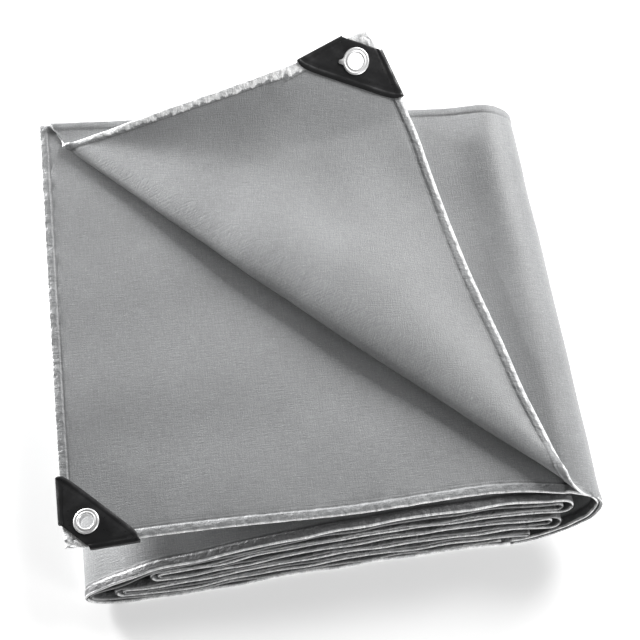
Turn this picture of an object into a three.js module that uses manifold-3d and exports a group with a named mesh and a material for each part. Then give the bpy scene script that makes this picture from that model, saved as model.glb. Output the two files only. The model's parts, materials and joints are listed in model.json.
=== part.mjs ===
import * as THREE from 'three';
import { mergeVertices } from 'three/addons/utils/BufferGeometryUtils.js';
import Module from 'manifold-3d';

const wasm = await Module();
wasm.setup();

// A coated woven tarpaulin folded into a flat pack. Millimetres, +Z up, +X along the front of the
// pack and +Y towards its back. Every length below is a size of the real pack.

// Cloth: one ply of the model stands for the few thin plies that lie pressed together
const CLOTH_HALF = 0.7;
const HEM_HALF = 1.1;
const HEM_WIDTH = 7;
const HEM_STEP = 1.5;

// Pack
const PACK_DEPTH = 383.5;
const BACK_TAPER = 0.0535;
const SIDE_LEAN = 0.045;
const PLY_PITCH = 3.3;
const TOP_LEFT_Z = 58;
const TOP_RISE = 0.0122;
const BEND_SEGMENTS = 6;
const NOSE_SEGMENTS = 9;

// Passes of the inner stack, bottom to top: height at the left, the middle and the right
const STACK_LEFT_X = 60;
const STACK_MID_X = 200;
const STACK_RIGHT_X = 350;
const STACK = [
  { level: 1, left: 1.1, mid: 1.1, right: 1.1 },
  { level: 2, left: 4.1, mid: 4.1, right: 4.1 },
  { level: 3, left: 9, mid: 10.4, right: 10.5 },
  { level: 4, left: 12, mid: 13.6, right: 13.8 },
  { level: 5, left: 16.4, mid: 20.4, right: 21 },
  { level: 6, left: 19.4, mid: 23.6, right: 24.3 },
  { level: 7, left: 23.6, mid: 30.2, right: 31.5 },
  { level: 8, left: 26.6, mid: 33.4, right: 34.8 },
  { level: 9, left: 30.4, mid: 40, right: 42.5 },
  { level: 10, left: 33.4, mid: 43.2, right: 45.8 },
  { level: 11, left: 37.6, mid: 50.4, right: 54 },
  { level: 12, left: 40.6, mid: 53.6, right: 57.3 },
];

// Folds of the stack in the order in which the cloth runs, from the outer wrap to the inner one:
// tip is how far each fold reaches, reach is how long its rounded end is
const FOLDS = [
  { from: 1, to: 12, side: 'left', tip: 12, reach: 22 },
  { from: 12, to: 9, side: 'right', tip: 388, reach: 9 },
  { from: 9, to: 8, side: 'left', tip: 68, reach: 2.4 },
  { from: 8, to: 5, side: 'right', tip: 381, reach: 8 },
  { from: 5, to: 4, side: 'left', tip: 39, reach: 2.4 },
  { from: 4, to: 3, side: 'right', tip: 358, reach: 1.8 },
  { from: 3, to: 6, side: 'left', tip: 33, reach: 5.4 },
  { from: 6, to: 7, side: 'right', tip: 374, reach: 4 },
  { from: 7, to: 10, side: 'left', tip: 62, reach: 5.2 },
  { from: 10, to: 11, side: 'right', tip: 380, reach: 4.4 },
  { from: 11, to: 2, side: 'left', tip: 15.4, reach: 21 },
];
const NOSE_Z = { 1: 1.1, 2: 4.1, 11: 27, 12: 30 };
const NOSE_START_X = { outer: 34, inner: 36.4 };

// Front edges: each lower ply lies a little nearer, and more so at the left
const FRONT = { left: -19, mid: -6, right: 2 };
const STAGGER = { left: 1, mid: 1.05, right: 1.15 };
const BACK_INSET = 2;
const BACK_STAGGER = 0.5;
const TOP_FRONT = [
  { x: 0, y: 0 }, { x: 60, y: 3 }, { x: 160, y: 4 }, { x: 225, y: 5 }, { x: 318, y: 11 },
  { x: 352, y: 10 }, { x: 386, y: 5 }, { x: 404, y: 1.5 },
];

// The loose bend that wraps the right side, outer ply, from the top down to the floor
const WRAP = [
  { x: 386, z: 65.6, y: 5 }, { x: 396, z: 64.2, y: 3 }, { x: 404, z: 60.8, y: 1.5 },
  { x: 409, z: 55, y: 0 }, { x: 410.8, z: 47.5, y: -1 }, { x: 409.5, z: 39, y: -2.5 },
  { x: 404.5, z: 30, y: -4.5 }, { x: 396, z: 21.5, y: -6 }, { x: 384, z: 13, y: -7.5 },
  { x: 370, z: 6.4, y: -9 }, { x: 357, z: 2.4, y: -10 }, { x: 344, z: 1.1, y: -11 },
];
const WRAP_TOP_ROWS = 2;
const INNER_FRONT_RATE = 0.3;

// A pass has no stations closer to its ends than this
const RUN_CLEAR = 12;
const RUN_STOPS = [STACK_LEFT_X, 130, STACK_MID_X, 275, STACK_RIGHT_X];
const SECOND_SHEET_STOPS = [345, 318, 225, 160, 100, 60, 30];

// Top sheet: its front-left corner is rolled back over the line from FOLD_A to FOLD_B
const TOP_LEFT_EDGE = { x: -8, y: 384 };
const FOLD_A = { x: 4, y: 362 };
const FOLD_B_FRONT = 1.5;
const ROLL = { start: 3, end: 6.5, swell: 5, steps: 6, share: 0.8 };
const FLAP_GAP = 2.9;
const FLAP_EASE = 60;
const EASE_STEPS = [0.33, 0.66, 1];

// Flap's free hem: how far its points lie from the fold when it is unrolled, by distance along
// the fold. Its corner is one of the rows
const FLAP_HEM = [
  { x: 0, length: 0 }, { x: 35, length: 50 }, { x: 91, length: 134 }, { x: 126, length: 190 },
  { x: 152.3, length: 257.2 }, { x: 223, length: 229 }, { x: 243, length: 216.6 },
  { x: 297, length: 174.5 }, { x: 355, length: 129 }, { x: 410, length: 89 },
  { x: 447, length: 60 }, { x: 487, length: 33.5 }, { x: 510, length: 20 },
  { x: 538.43, length: 0 },
];
const CORNER_ROW = 4;

// Where the flap is short, its hem's two bends lie at these shares of its length
const SHORT_HEM = { band: 0.3, step: 0.36 };

// The flap's far hem stands up: a straight slope beside the hem that eases out on to the sheet,
// as steep as that from a distance along the hem
const LIFT = { slope: 0.36, flatTo: 76, endsAt: 88, fullFrom: 190 };

// The flap bends for that slope within these shares of what is left of a strip
const LIFT_RANGE = { first: 0.3, last: 0.9, next: 0.2, end: 0.95 };

// Strips of the top sheet also end at these places along its back edge
const BACK_STOPS = [330, 386, 396];

// Strips of the flap, by distance along the fold
const FLAP_STOPS = [0, 16, 35, 62, 91, 110, 126, 141.5, 152.3, 188, 223, 243];
const CORNER_STEP = 10;
const LEFT_EDGE_STEPS = [0, 0.34, 0.67];

// Bends of a strip beside the crown, by distance from it, or by share where the strip is short
const CROWN_OFFSETS = [18, 8];
const SHORT_STRIP = [0.6, 0.8];
const SAME_PLACE = 1e-4;
const NO_AREA = 1e-6;

// Lower corner droops a little past the stack
const DROOP = { slope: 0.065, flatTo: 78, endsAt: 190 };

// The rolled corner's patch and eyelet are a size larger than the lower ones
const UPPER_SCALE = 1.2;

// Rows across the cloth, from the front hem to the back hem
const ROWS = [0, HEM_WIDTH, HEM_WIDTH + HEM_STEP, 30, 60, 125, 190, 255, 320];
const BACK_ROWS = [HEM_WIDTH + HEM_STEP, HEM_WIDTH, 0];

// Corner patches and eyelets
const PATCH = {
  leg: 59, clip: 20, margin: 2.2, seat: 1.6, ply: 0.9, round: 0.7, bulge: 1, shoulder: 4,
};
const EYELET = {
  inset: 19, hole: 5.6, wall: 0.9, flange: 10, plate: 0.7, bead: 0.6, sides: 32, clear: 0.35,
};
const BORE_LENGTH = 20;

// Eyelet's rolled rim, from the flange's edge in to the hole: how far out from the hole's side,
// and how high over the patch
const RIM = [
  { out: 4.4, up: 0 }, { out: 4.1, up: 0.6 }, { out: 3, up: 1.1 }, { out: 1.8, up: 1.3 },
  { out: 0.5, up: 1 }, { out: 0, up: -0.2 },
];

// Washer's outer edge, drawn in below its plate
const WASHER = { inset: 0.2, taper: 0.4, lip: 0.3 };

const cloth = new THREE.MeshStandardMaterial({ color: 0x9a9b9c, roughness: 0.5, metalness: 0.15 });
const plastic = new THREE.MeshStandardMaterial({ color: 0x242425, roughness: 0.28, metalness: 0 });
const metal = new THREE.MeshStandardMaterial({ color: 0xd9dadb, roughness: 0.3, metalness: 0.9 });

// Value of a table's column between its rows, straight from one to the next
function along(table, x, column) {
  if (x <= table[0].x) return table[0][column];
  for (let i = 1; i < table.length; i += 1) {
    const [a, b] = [table[i - 1], table[i]];
    if (x <= b.x) return a[column] + ((b[column] - a[column]) * (x - a.x)) / (b.x - a.x);
  }
  return table[table.length - 1][column];
}

const blend = (a, b, k) => a + (b - a) * k;

const backEdge = (x) => PACK_DEPTH - BACK_TAPER * x;

const topZ = (x) => TOP_LEFT_Z + TOP_RISE * x;

// Height of a stack pass at x
function stackZ(level, x) {
  const row = STACK[level - 1];
  const table = [
    { x: STACK_LEFT_X, z: row.left }, { x: STACK_MID_X, z: row.mid },
    { x: STACK_RIGHT_X, z: row.right },
  ];
  return along(table, x, 'z');
}

// Front edge of a stack pass at x
function stackFront(level, x) {
  const down = STACK.length - level;
  const table = [
    { x: STACK_LEFT_X / 2, y: FRONT.left - down * STAGGER.left },
    { x: STACK_MID_X, y: FRONT.mid - down * STAGGER.mid },
    { x: STACK_RIGHT_X, y: FRONT.right - down * STAGGER.right },
  ];
  return along(table, x, 'y');
}

const stackBack = (level, x) => backEdge(x) - BACK_INSET - BACK_STAGGER * (STACK.length - level);

function stackStation(level, x) {
  const [front, back] = [stackFront(level, x), stackBack(level, x)];
  return { x, z: stackZ(level, x), front, back, floor: level === 1 };
}

// Rounded end between two passes: x runs out along a sine, z goes over along a cosine
function shortBend(fold) {
  const sign = fold.side === 'left' ? -1 : 1;
  const startX = fold.tip - sign * fold.reach;
  const [z0, z1] = [stackZ(fold.from, startX), stackZ(fold.to, startX)];
  const stations = [];
  for (let i = 0; i <= BEND_SEGMENTS; i += 1) {
    const angle = (Math.PI * i) / BEND_SEGMENTS;
    const k = (1 - Math.cos(angle)) / 2;
    const x = startX + sign * fold.reach * Math.sin(angle);
    const front = blend(stackFront(fold.from, x), stackFront(fold.to, x), k);
    const back = blend(stackBack(fold.from, x), stackBack(fold.to, x), k);
    stations.push({ x, z: blend(z0, z1, k), front, back });
  }
  return stations;
}

// Low pointed nose at the left, from its upper pass down to its lower one
function nose(upper, lower, tip, startX) {
  const stations = [];
  for (let i = 0; i <= NOSE_SEGMENTS; i += 1) {
    const angle = (Math.PI * i) / NOSE_SEGMENTS;
    const k = Math.sin(angle / 2);
    const x = startX - (startX - tip) * Math.sin(angle);
    const front = blend(stackFront(upper, x), stackFront(lower, x), k);
    const back = blend(stackBack(upper, x), stackBack(lower, x), k);
    const floor = lower === 1 && i === NOSE_SEGMENTS;
    stations.push({ x, z: blend(NOSE_Z[upper], NOSE_Z[lower], k), front, back, floor });
  }
  return stations;
}

function foldStations(fold) {
  if (fold.from === 1) return nose(12, 1, fold.tip, NOSE_START_X.outer).reverse();
  if (fold.to === 2) return nose(11, 2, fold.tip, NOSE_START_X.inner);
  return shortBend(fold);
}

// The wrap's plies: the inner one is the outer one moved in by the ply pitch
function wrapStations(inward) {
  return WRAP.map((row, i) => {
    const a = WRAP[Math.max(i - 1, 0)];
    const b = WRAP[Math.min(i + 1, WRAP.length - 1)];
    const length = Math.hypot(b.x - a.x, b.z - a.z);
    const x = row.x + (inward * (b.z - a.z)) / length;
    const z = row.z - (inward * (b.x - a.x)) / length;
    const flat = i === WRAP.length - 1;
    const level = inward ? 2 : 1;
    const floor = flat && level === 1;
    const front = flat ? stackFront(level, x) : row.y + inward * INNER_FRONT_RATE;
    const sunk = i / (WRAP.length - 1);
    const back = blend(backEdge(x), stackBack(level, x), sunk);
    return { x, z: flat ? stackZ(level, x) : z, front, back, floor };
  });
}

// Straight run of a pass between two ends, with the stations that its table bends at
function straightRun(level, fromX, toX) {
  const low = Math.min(fromX, toX) + RUN_CLEAR;
  const high = Math.max(fromX, toX) - RUN_CLEAR;
  const run = RUN_STOPS.filter((x) => x > low && x < high).map((x) => stackStation(level, x));
  return fromX < toX ? run : run.reverse();
}

// Free left end of the second sheet, with its hem
function secondSheet() {
  const stops = [...SECOND_SHEET_STOPS, HEM_WIDTH + HEM_STEP, HEM_WIDTH, 0];
  return stops.map((x) => ({
    x, z: topZ(x), front: along(TOP_FRONT, x, 'y'), back: backEdge(x), droop: true,
    hem: x <= HEM_WIDTH,
  }));
}

// All stations of the section, from the wrap's crown to the second sheet's hem
function section() {
  const outer = wrapStations(0).slice(WRAP_TOP_ROWS);
  const inner = wrapStations(PLY_PITCH).reverse();
  let stations = [...outer];
  FOLDS.forEach((fold) => {
    const bend = foldStations(fold);
    const last = stations[stations.length - 1];
    stations = stations.concat(straightRun(fold.from, last.x, bend[0].x), bend);
  });
  const last = stations[stations.length - 1];
  stations = stations.concat(straightRun(2, last.x, inner[0].x), inner);
  return stations.concat(secondSheet());
}

// Straight slope up to one distance, easing out to nothing at another
function easedSlope({ slope, flatTo, endsAt }, distance) {
  const eased = (slope * (endsAt - flatTo)) / 2;
  if (distance <= flatTo) return slope * (flatTo - distance) + eased;
  if (distance >= endsAt) return 0;
  return (slope * (endsAt - distance) ** 2) / (2 * (endsAt - flatTo));
}

const droopAt = (x, y) => easedSlope(DROOP, x + y);

const isHemRow = (row) => row <= 1 || row >= ROWS.length + 1;

function rowY(station, row) {
  if (row < ROWS.length) return station.front + ROWS[row];
  return station.back - BACK_ROWS[row - ROWS.length];
}

const ROW_COUNT = ROWS.length + BACK_ROWS.length;

// Mid-surface of a sheet: points with their normals and half thickness, and triangles
class Surface {
  constructor() {
    this.points = [];
    this.normals = [];
    this.halves = [];
    this.triangles = [];
  }

  add(point, normal, half) {
    this.points.push(point);
    this.normals.push(normal.clone().normalize());
    this.halves.push(half);
    return this.points.length - 1;
  }

  // Two triangles of a cell, leaving out the ones that fall together
  cell(a, b, c, d) {
    [[a, b, c], [a, c, d]].forEach((tri) => {
      const [p, q, r] = tri.map((i) => this.points[i]);
      const area = q.clone().sub(p).cross(r.clone().sub(p)).length();
      if (area > NO_AREA) this.triangles.push(tri);
    });
  }

  // Closed solid: both faces, and a wall along every free edge, cut over its shorter diagonal
  solid() {
    const count = this.points.length;
    const corners = [1, -1].flatMap((side) => this.points.map((point, i) => (
      point.clone().addScaledVector(this.normals[i], side * this.halves[i])
    )));
    const faces = [];
    const edges = new Map();
    this.triangles.forEach(([a, b, c]) => {
      faces.push([a, b, c], [count + c, count + b, count + a]);
      [[a, b], [b, c], [c, a]].forEach(([i, j]) => {
        edges.set(`${i}_${j}`, [i, j]);
      });
    });
    edges.forEach(([i, j]) => {
      if (edges.has(`${j}_${i}`)) return;
      const [below, beyond] = [count + i, count + j];
      const toBelow = corners[j].distanceTo(corners[below]);
      const toBeyond = corners[i].distanceTo(corners[beyond]);
      if (toBelow <= toBeyond) faces.push([j, i, below], [j, below, beyond]);
      else faces.push([j, i, beyond], [i, below, beyond]);
    });
    const positions = corners.flatMap((place) => place.toArray());
    const geometry = new THREE.BufferGeometry();
    geometry.setAttribute('position', new THREE.Float32BufferAttribute(positions, 3));
    geometry.setIndex(faces.flat());
    return geometry;
  }
}

// Normal of the section at a station, square to the line through its neighbours
function stationNormal(stations, i) {
  const a = stations[Math.max(i - 1, 0)];
  const b = stations[Math.min(i + 1, stations.length - 1)];
  return new THREE.Vector3(b.z - a.z, 0, a.x - b.x).negate().normalize();
}

// One column of points across the cloth
function addColumn(surface, stations, i) {
  const station = stations[i];
  const normal = stationNormal(stations, i);
  const column = [];
  for (let row = 0; row < ROW_COUNT; row += 1) {
    const y = rowY(station, row);
    const half = station.hem || isHemRow(row) ? HEM_HALF : CLOTH_HALF;
    const sunk = station.droop ? droopAt(station.x, y) : 0;
    const z = station.floor ? half : station.z - sunk;
    column.push(surface.add(new THREE.Vector3(station.x - SIDE_LEAN * y, y, z), normal, half));
  }
  return column;
}

// Plan directions of the rolled corner: along the fold, and square to it on to the sheet
const crownX = WRAP[WRAP_TOP_ROWS].x;
const foldA = new THREE.Vector2(FOLD_A.x, FOLD_A.y);
const foldB = new THREE.Vector2(crownX - SIDE_LEAN * FOLD_B_FRONT, FOLD_B_FRONT);
const foldDirection = foldB.clone().sub(foldA).normalize();
const foldInward = new THREE.Vector2(-foldDirection.y, foldDirection.x);
const foldLength = foldB.distanceTo(foldA);
const cornerT = FLAP_HEM[CORNER_ROW].x / foldLength;

const rollRadius = (t) => blend(ROLL.start, ROLL.end, t) + ROLL.swell * Math.sin(Math.PI * t) ** 2;

const cornerOut = FLAP_HEM[CORNER_ROW].length - Math.PI * rollRadius(cornerT);
const corner = foldA.clone().lerp(foldB, cornerT).addScaledVector(foldInward, cornerOut);

// Top sheet's mid-surface height at a place in plan
function sheetZ(point) {
  const x = point.x + SIDE_LEAN * point.y;
  return x < WRAP[0].x ? topZ(x) + PLY_PITCH : along(WRAP, x, 'z');
}

// Length of the flap, unrolled, from the fold line to its hem
const flapLength = (t) => along(FLAP_HEM, t * foldLength, 'length');

// How much longer a cut along a strip is than one square to the hem, beside a place on it
function hemSlant(t) {
  const x = t * foldLength;
  const row = Math.max(FLAP_HEM.findIndex((end) => x <= end.x + SAME_PLACE), 1);
  const [a, b] = [FLAP_HEM[row - 1], FLAP_HEM[row]];
  return Math.hypot(b.x - a.x, b.length - a.length) / (b.x - a.x);
}

// A place in plan, by its distance along the flap's far hem and its distance inside it
function besideHem(plan) {
  const hem = corner.clone().sub(foldA).normalize();
  const from = plan.clone().sub(foldA);
  return { run: from.dot(hem), inside: from.x * hem.y - from.y * hem.x };
}

// Height of the flap where it lies open, at a place in plan
function flapZ(plan) {
  const { run, inside } = besideHem(plan);
  const lifted = THREE.MathUtils.clamp(run / LIFT.fullFrom, 0, 1);
  return sheetZ(plan) + FLAP_GAP + lifted * easedSlope(LIFT, inside);
}

// Distances from a strip's base, in plan, at which the far hem's slope starts and is even
function liftStops(base) {
  const here = besideHem(base);
  const ahead = besideHem(base.clone().add(foldInward));
  const [runRate, insideRate] = [ahead.run - here.run, here.inside - ahead.inside];
  const starts = (here.inside - LIFT.endsAt) / insideRate;
  const even = (here.inside - LIFT.flatTo) / insideRate;
  return [starts, Math.max(even, (LIFT.fullFrom - here.run) / runRate)];
}

// Distances from the fold line at which a strip of the flap has points
function flapStations(t) {
  const length = flapLength(t);
  const slant = hemSlant(t);
  const band = Math.min(HEM_WIDTH * slant, length * SHORT_HEM.band);
  const inner = length - Math.min((HEM_WIDTH + HEM_STEP) * slant, length * SHORT_HEM.step);
  const halfTurn = Math.PI * rollRadius(t);
  const rolled = Math.min(halfTurn, inner * ROLL.share);
  const steps = [];
  for (let i = 1; i <= ROLL.steps; i += 1) steps.push((rolled * i) / ROLL.steps);
  const easing = Math.min(FLAP_EASE, (inner - rolled) / 2);
  EASE_STEPS.forEach((share) => steps.push(rolled + easing * share));
  const { clamp } = THREE.MathUtils;
  const last = rolled + easing;
  const [starts, even] = liftStops(foldA.clone().lerp(foldB, t)).map((s) => s + halfTurn);
  const { first, last: lastShare, next, end } = LIFT_RANGE;
  const third = clamp(starts, blend(last, inner, first), blend(last, inner, lastShare));
  const fourth = clamp(even, blend(third, inner, next), blend(third, inner, end));
  return [...steps, third, fourth, inner, length - band, length];
}

// Point of the flap at a distance from the fold line: round the roll, then flat and rising
function flapPoint(base, t, distance) {
  const radius = rollRadius(t);
  const angle = Math.min(distance / radius, Math.PI);
  const past = Math.max(distance - Math.PI * radius, 0);
  const plan = base.clone().addScaledVector(foldInward, past - radius * Math.sin(angle));
  const rolled = sheetZ(base) + radius * (1 - Math.cos(angle));
  const ease = THREE.MathUtils.smoothstep(past, 0, FLAP_EASE);
  const z = blend(rolled, flapZ(plan), ease);
  const normal = new THREE.Vector3(
    foldInward.x * Math.sin(angle), foldInward.y * Math.sin(angle), Math.cos(angle),
  );
  return { point: new THREE.Vector3(plan.x, plan.y, z), normal };
}

// How far the strip from a base point runs: to the sheet's back edge or to the wrap's crown
function sheetReach(base) {
  const lean = foldInward.y + BACK_TAPER * foldInward.x;
  const toBack = (backEdge(base.x + SIDE_LEAN * base.y) - base.y) / lean;
  const toCrown = (crownX - base.x - SIDE_LEAN * base.y) / (foldInward.x + SIDE_LEAN * foldInward.y);
  return Math.max(Math.min(toBack, toCrown), 0);
}

// Base points along the fold, chosen so that the strips end on the rows of the wrap's crown
function foldBases(crownStation) {
  const bases = [];
  const edge = new THREE.Vector2(TOP_LEFT_EDGE.x, TOP_LEFT_EDGE.y);
  LEFT_EDGE_STEPS.forEach((k) => bases.push({ base: edge.clone().lerp(foldA, k), t: 0 }));
  const ts = FLAP_STOPS.map((x) => x / foldLength);
  const rows = [];
  for (let row = ROW_COUNT - 1; row >= 0; row -= 1) {
    const y = rowY(crownStation, row);
    const end = new THREE.Vector2(crownX - SIDE_LEAN * y, y);
    rows.push({ t: end.sub(foldA).dot(foldDirection) / foldLength, row });
  }
  BACK_STOPS.forEach((x) => {
    const end = new THREE.Vector2(x - SIDE_LEAN * backEdge(x), backEdge(x));
    ts.push(end.sub(foldA).dot(foldDirection) / foldLength);
  });
  ts.sort((a, b) => a - b);
  ts.forEach((t) => bases.push({ base: foldA.clone().lerp(foldB, t), t }));
  rows.forEach(({ t, row }) => bases.push({ base: foldA.clone().lerp(foldB, t), t, row }));
  return bases;
}

// Flat side of one strip, from the fold line to the back hem or the crown
function sheetStrip(surface, entry, origin, crownColumn) {
  const { base, row } = entry;
  const reach = sheetReach(base);
  const isCrown = row !== undefined;
  const offsets = isCrown ? CROWN_OFFSETS : [HEM_WIDTH + HEM_STEP, HEM_WIDTH];
  const scale = isCrown ? foldInward.x : foldInward.y;
  const [inner, outer] = offsets.map((offset, i) => (
    Math.max(reach - offset / scale, reach * SHORT_STRIP[i])
  ));
  const stops = [inner * 0.5, inner, outer, reach];
  return stops.map((distance, i) => {
    if (isCrown && i === stops.length - 1) return crownColumn[row];
    if (distance < SAME_PLACE) return origin;
    const plan = base.clone().addScaledVector(foldInward, distance);
    const inHem = isCrown ? isHemRow(row) && row > 1 : i >= 2;
    const point = new THREE.Vector3(plan.x, plan.y, sheetZ(plan));
    return surface.add(point, new THREE.Vector3(0, 0, 1), inHem ? HEM_HALF : CLOTH_HALF);
  });
}

// Flap side of one strip, from its hem to the fold line
function flapStrip(surface, entry, origin) {
  const stops = flapStations(entry.t);
  return stops.map((distance, i) => {
    if (distance < SAME_PLACE) return origin;
    const { point, normal } = flapPoint(entry.base, entry.t, distance);
    return surface.add(point, normal, i >= stops.length - 2 ? HEM_HALF : CLOTH_HALF);
  }).reverse();
}

// One strip of the top sheet: from the flap's hem to its base on the fold, and on to its far end
function addStrip(surface, entry, crownColumn) {
  const { base, t } = entry;
  const atFoldEnd = base.distanceTo(foldA) < SAME_PLACE;
  const normal = atFoldEnd
    ? new THREE.Vector3(foldInward.x, foldInward.y, 0) : new THREE.Vector3(0, 0, 1);
  const point = new THREE.Vector3(base.x, base.y, sheetZ(base));
  const origin = surface.add(point, normal, t === 0 ? HEM_HALF : CLOTH_HALF);
  const flap = flapStrip(surface, entry, origin);
  return [...flap, origin, ...sheetStrip(surface, entry, origin, crownColumn)];
}

// Top sheet with its rolled corner, as strips square to the fold
function addTopSheet(surface, crownStation, crownColumn) {
  const strips = [];
  foldBases(crownStation).forEach((entry) => {
    if (entry.row === 0) strips.push(strips[0].map(() => crownColumn[0]));
    else strips.push(addStrip(surface, entry, crownColumn));
  });
  for (let i = 1; i < strips.length; i += 1) {
    const [a, b] = [strips[i - 1], strips[i]];
    for (let j = 1; j < a.length; j += 1) surface.cell(a[j - 1], b[j - 1], b[j], a[j]);
  }
}

// The whole cloth in one sheet
function clothGeometry() {
  const surface = new Surface();
  const stations = section();
  const columns = stations.map((_, i) => addColumn(surface, stations, i));
  for (let i = 1; i < columns.length; i += 1) {
    for (let row = 1; row < ROW_COUNT; row += 1) {
      const [a, b] = [columns[i - 1], columns[i]];
      surface.cell(a[row - 1], b[row - 1], b[row], a[row]);
    }
  }
  addTopSheet(surface, stations[0], columns[0]);
  return surface.solid();
}

function toManifold(geometry) {
  const bare = geometry.clone();
  bare.deleteAttribute('normal');
  bare.deleteAttribute('uv');
  const merged = mergeVertices(bare, 1e-4);
  const vertProperties = new Float32Array(merged.attributes.position.array);
  const triVerts = new Uint32Array(merged.index.array);
  return new wasm.Manifold(new wasm.Mesh({ numProp: 3, vertProperties, triVerts }));
}

function toGeometry(manifold) {
  const mesh = manifold.getMesh();
  const geometry = new THREE.BufferGeometry();
  geometry.setAttribute('position', new THREE.BufferAttribute(mesh.vertProperties, 3));
  geometry.setIndex(new THREE.BufferAttribute(mesh.triVerts, 1));
  return geometry;
}

// Corner frames: x along one hem, y along the other, z square to the cloth, origin at the corner
function cornerFrame(origin, alongHem, otherHem) {
  const x = alongHem.clone().sub(origin).normalize();
  const y = otherHem.clone().sub(origin).normalize();
  const z = x.clone().cross(y).normalize();
  const frame = new THREE.Matrix4().makeBasis(x, y, z);
  return frame.setPosition(origin);
}

function lowerFrame() {
  const at = (x, y) => new THREE.Vector3(x - SIDE_LEAN * y, y, topZ(x) - droopAt(x, y));
  return cornerFrame(at(0, 0), at(30, along(TOP_FRONT, 30, 'y')), at(0, 30));
}

function upperFrame() {
  const hemAt = (t) => flapPoint(foldA.clone().lerp(foldB, t), t, flapLength(t)).point;
  const left = hemAt(cornerT - CORNER_STEP / foldLength);
  const right = hemAt(cornerT + CORNER_STEP / foldLength);
  return cornerFrame(hemAt(cornerT), left, right).scale(new THREE.Vector3(UPPER_SCALE, UPPER_SCALE, 1));
}

const placed = (geometry, matrix) => geometry.clone().applyMatrix4(matrix);

// Flat plate of an outline, centred on its thickness, with rounded edges
function plate(outline, thickness, round) {
  const shape = new THREE.Shape(outline.map(([x, y]) => new THREE.Vector2(x, y)));
  const geometry = new THREE.ExtrudeGeometry(shape, {
    depth: thickness - 2 * round, bevelEnabled: round > 0, bevelThickness: round,
    bevelSize: round, bevelOffset: -round, bevelSegments: 2, steps: 1,
  });
  return geometry.translate(0, 0, -thickness / 2 + round);
}

// Round hole for an eyelet's barrel, in the corner's own frame
function eyeletBore() {
  const { inset, hole, wall, clear, sides } = EYELET;
  const radius = hole + wall + clear;
  const bore = new THREE.CylinderGeometry(radius, radius, BORE_LENGTH, sides);
  return toManifold(bore.rotateX(Math.PI / 2).translate(inset, inset, 0));
}

// Sleeve of moulded plastic round the corner: closed along both hems, open at its long side
// and at the clipped tip, where the cloth's own corner comes out
function patchGeometry(frame) {
  const { leg, clip, margin, seat, ply, round, bulge, shoulder } = PATCH;
  const outline = [
    [clip, -margin], [leg, -margin], [leg + bulge, shoulder], [shoulder, leg + bulge],
    [-margin, leg], [-margin, clip],
  ];
  const wall = margin - ply;
  const pocket = [
    [-wall, -wall], [leg * 2, -wall], [leg * 2, leg * 2], [-wall, leg * 2],
  ];
  const shell = toManifold(plate(outline, 2 * (seat + ply), round));
  const hollow = toManifold(plate(pocket, 2 * seat, 0));
  const sleeve = shell.subtract(hollow).subtract(eyeletBore());
  return placed(toGeometry(sleeve), frame);
}

// Lathe ring about the eyelet's own axis, from a closed profile of radius and height
function ring(profile) {
  const points = [...profile, profile[0]].map(([r, z]) => new THREE.Vector2(r, z));
  const geometry = new THREE.LatheGeometry(points, EYELET.sides);
  return geometry.rotateX(Math.PI / 2).translate(EYELET.inset, EYELET.inset, 0);
}

const patchTop = PATCH.seat + PATCH.ply;

// Eyelet: a rolled rim over the patch and a barrel down through it
function eyeletGeometry(frame) {
  const { hole, wall, plate: thick, bead, clear } = EYELET;
  const rim = patchTop + clear;
  const foot = -patchTop - clear - thick - bead;
  const lip = RIM.map(({ out, up }) => [hole + out, rim + up]);
  const profile = [[hole, foot], [hole + wall, foot], [hole + wall, rim], ...lip];
  return placed(ring(profile), frame);
}

// Washer: a plain dished ring round the barrel's foot, behind the patch
function washerGeometry(frame) {
  const { hole, wall, flange, plate: thick, clear } = EYELET;
  const top = -patchTop - clear;
  const edge = flange - WASHER.inset;
  const profile = [
    [hole + wall + clear, top - thick], [edge - WASHER.taper, top - thick],
    [edge, top - WASHER.lip], [edge, top], [hole + wall + clear, top],
  ];
  return placed(ring(profile), frame);
}

// Cloth with its two eyelet holes
function tarpGeometry(frames) {
  let tarp = toManifold(clothGeometry());
  frames.forEach((frame) => {
    tarp = tarp.subtract(eyeletBore().transform(frame.elements));
  });
  return toGeometry(tarp);
}

function piece(name, geometry, material) {
  const mesh = new THREE.Mesh(geometry, material);
  mesh.name = name;
  return mesh;
}

const frames = { lower: lowerFrame(), upper: upperFrame() };
const tarp = new THREE.Group();
tarp.add(piece('tarp_cloth', tarpGeometry([frames.lower, frames.upper]), cloth));
Object.entries(frames).forEach(([name, frame]) => {
  tarp.add(piece(`corner_patch_${name}`, patchGeometry(frame), plastic));
  tarp.add(piece(`eyelet_${name}`, eyeletGeometry(frame), metal));
  tarp.add(piece(`washer_${name}`, washerGeometry(frame), metal));
});

// Origin at the middle of the pack's underside
const size = new THREE.Box3().setFromObject(tarp);
const middle = size.getCenter(new THREE.Vector3());
tarp.position.set(-middle.x, -middle.y, -size.min.z);

export default tarp;
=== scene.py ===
"""A coated woven tarpaulin, folded into a flat pack with one corner of its top sheet rolled back."""

import json
import math

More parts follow.
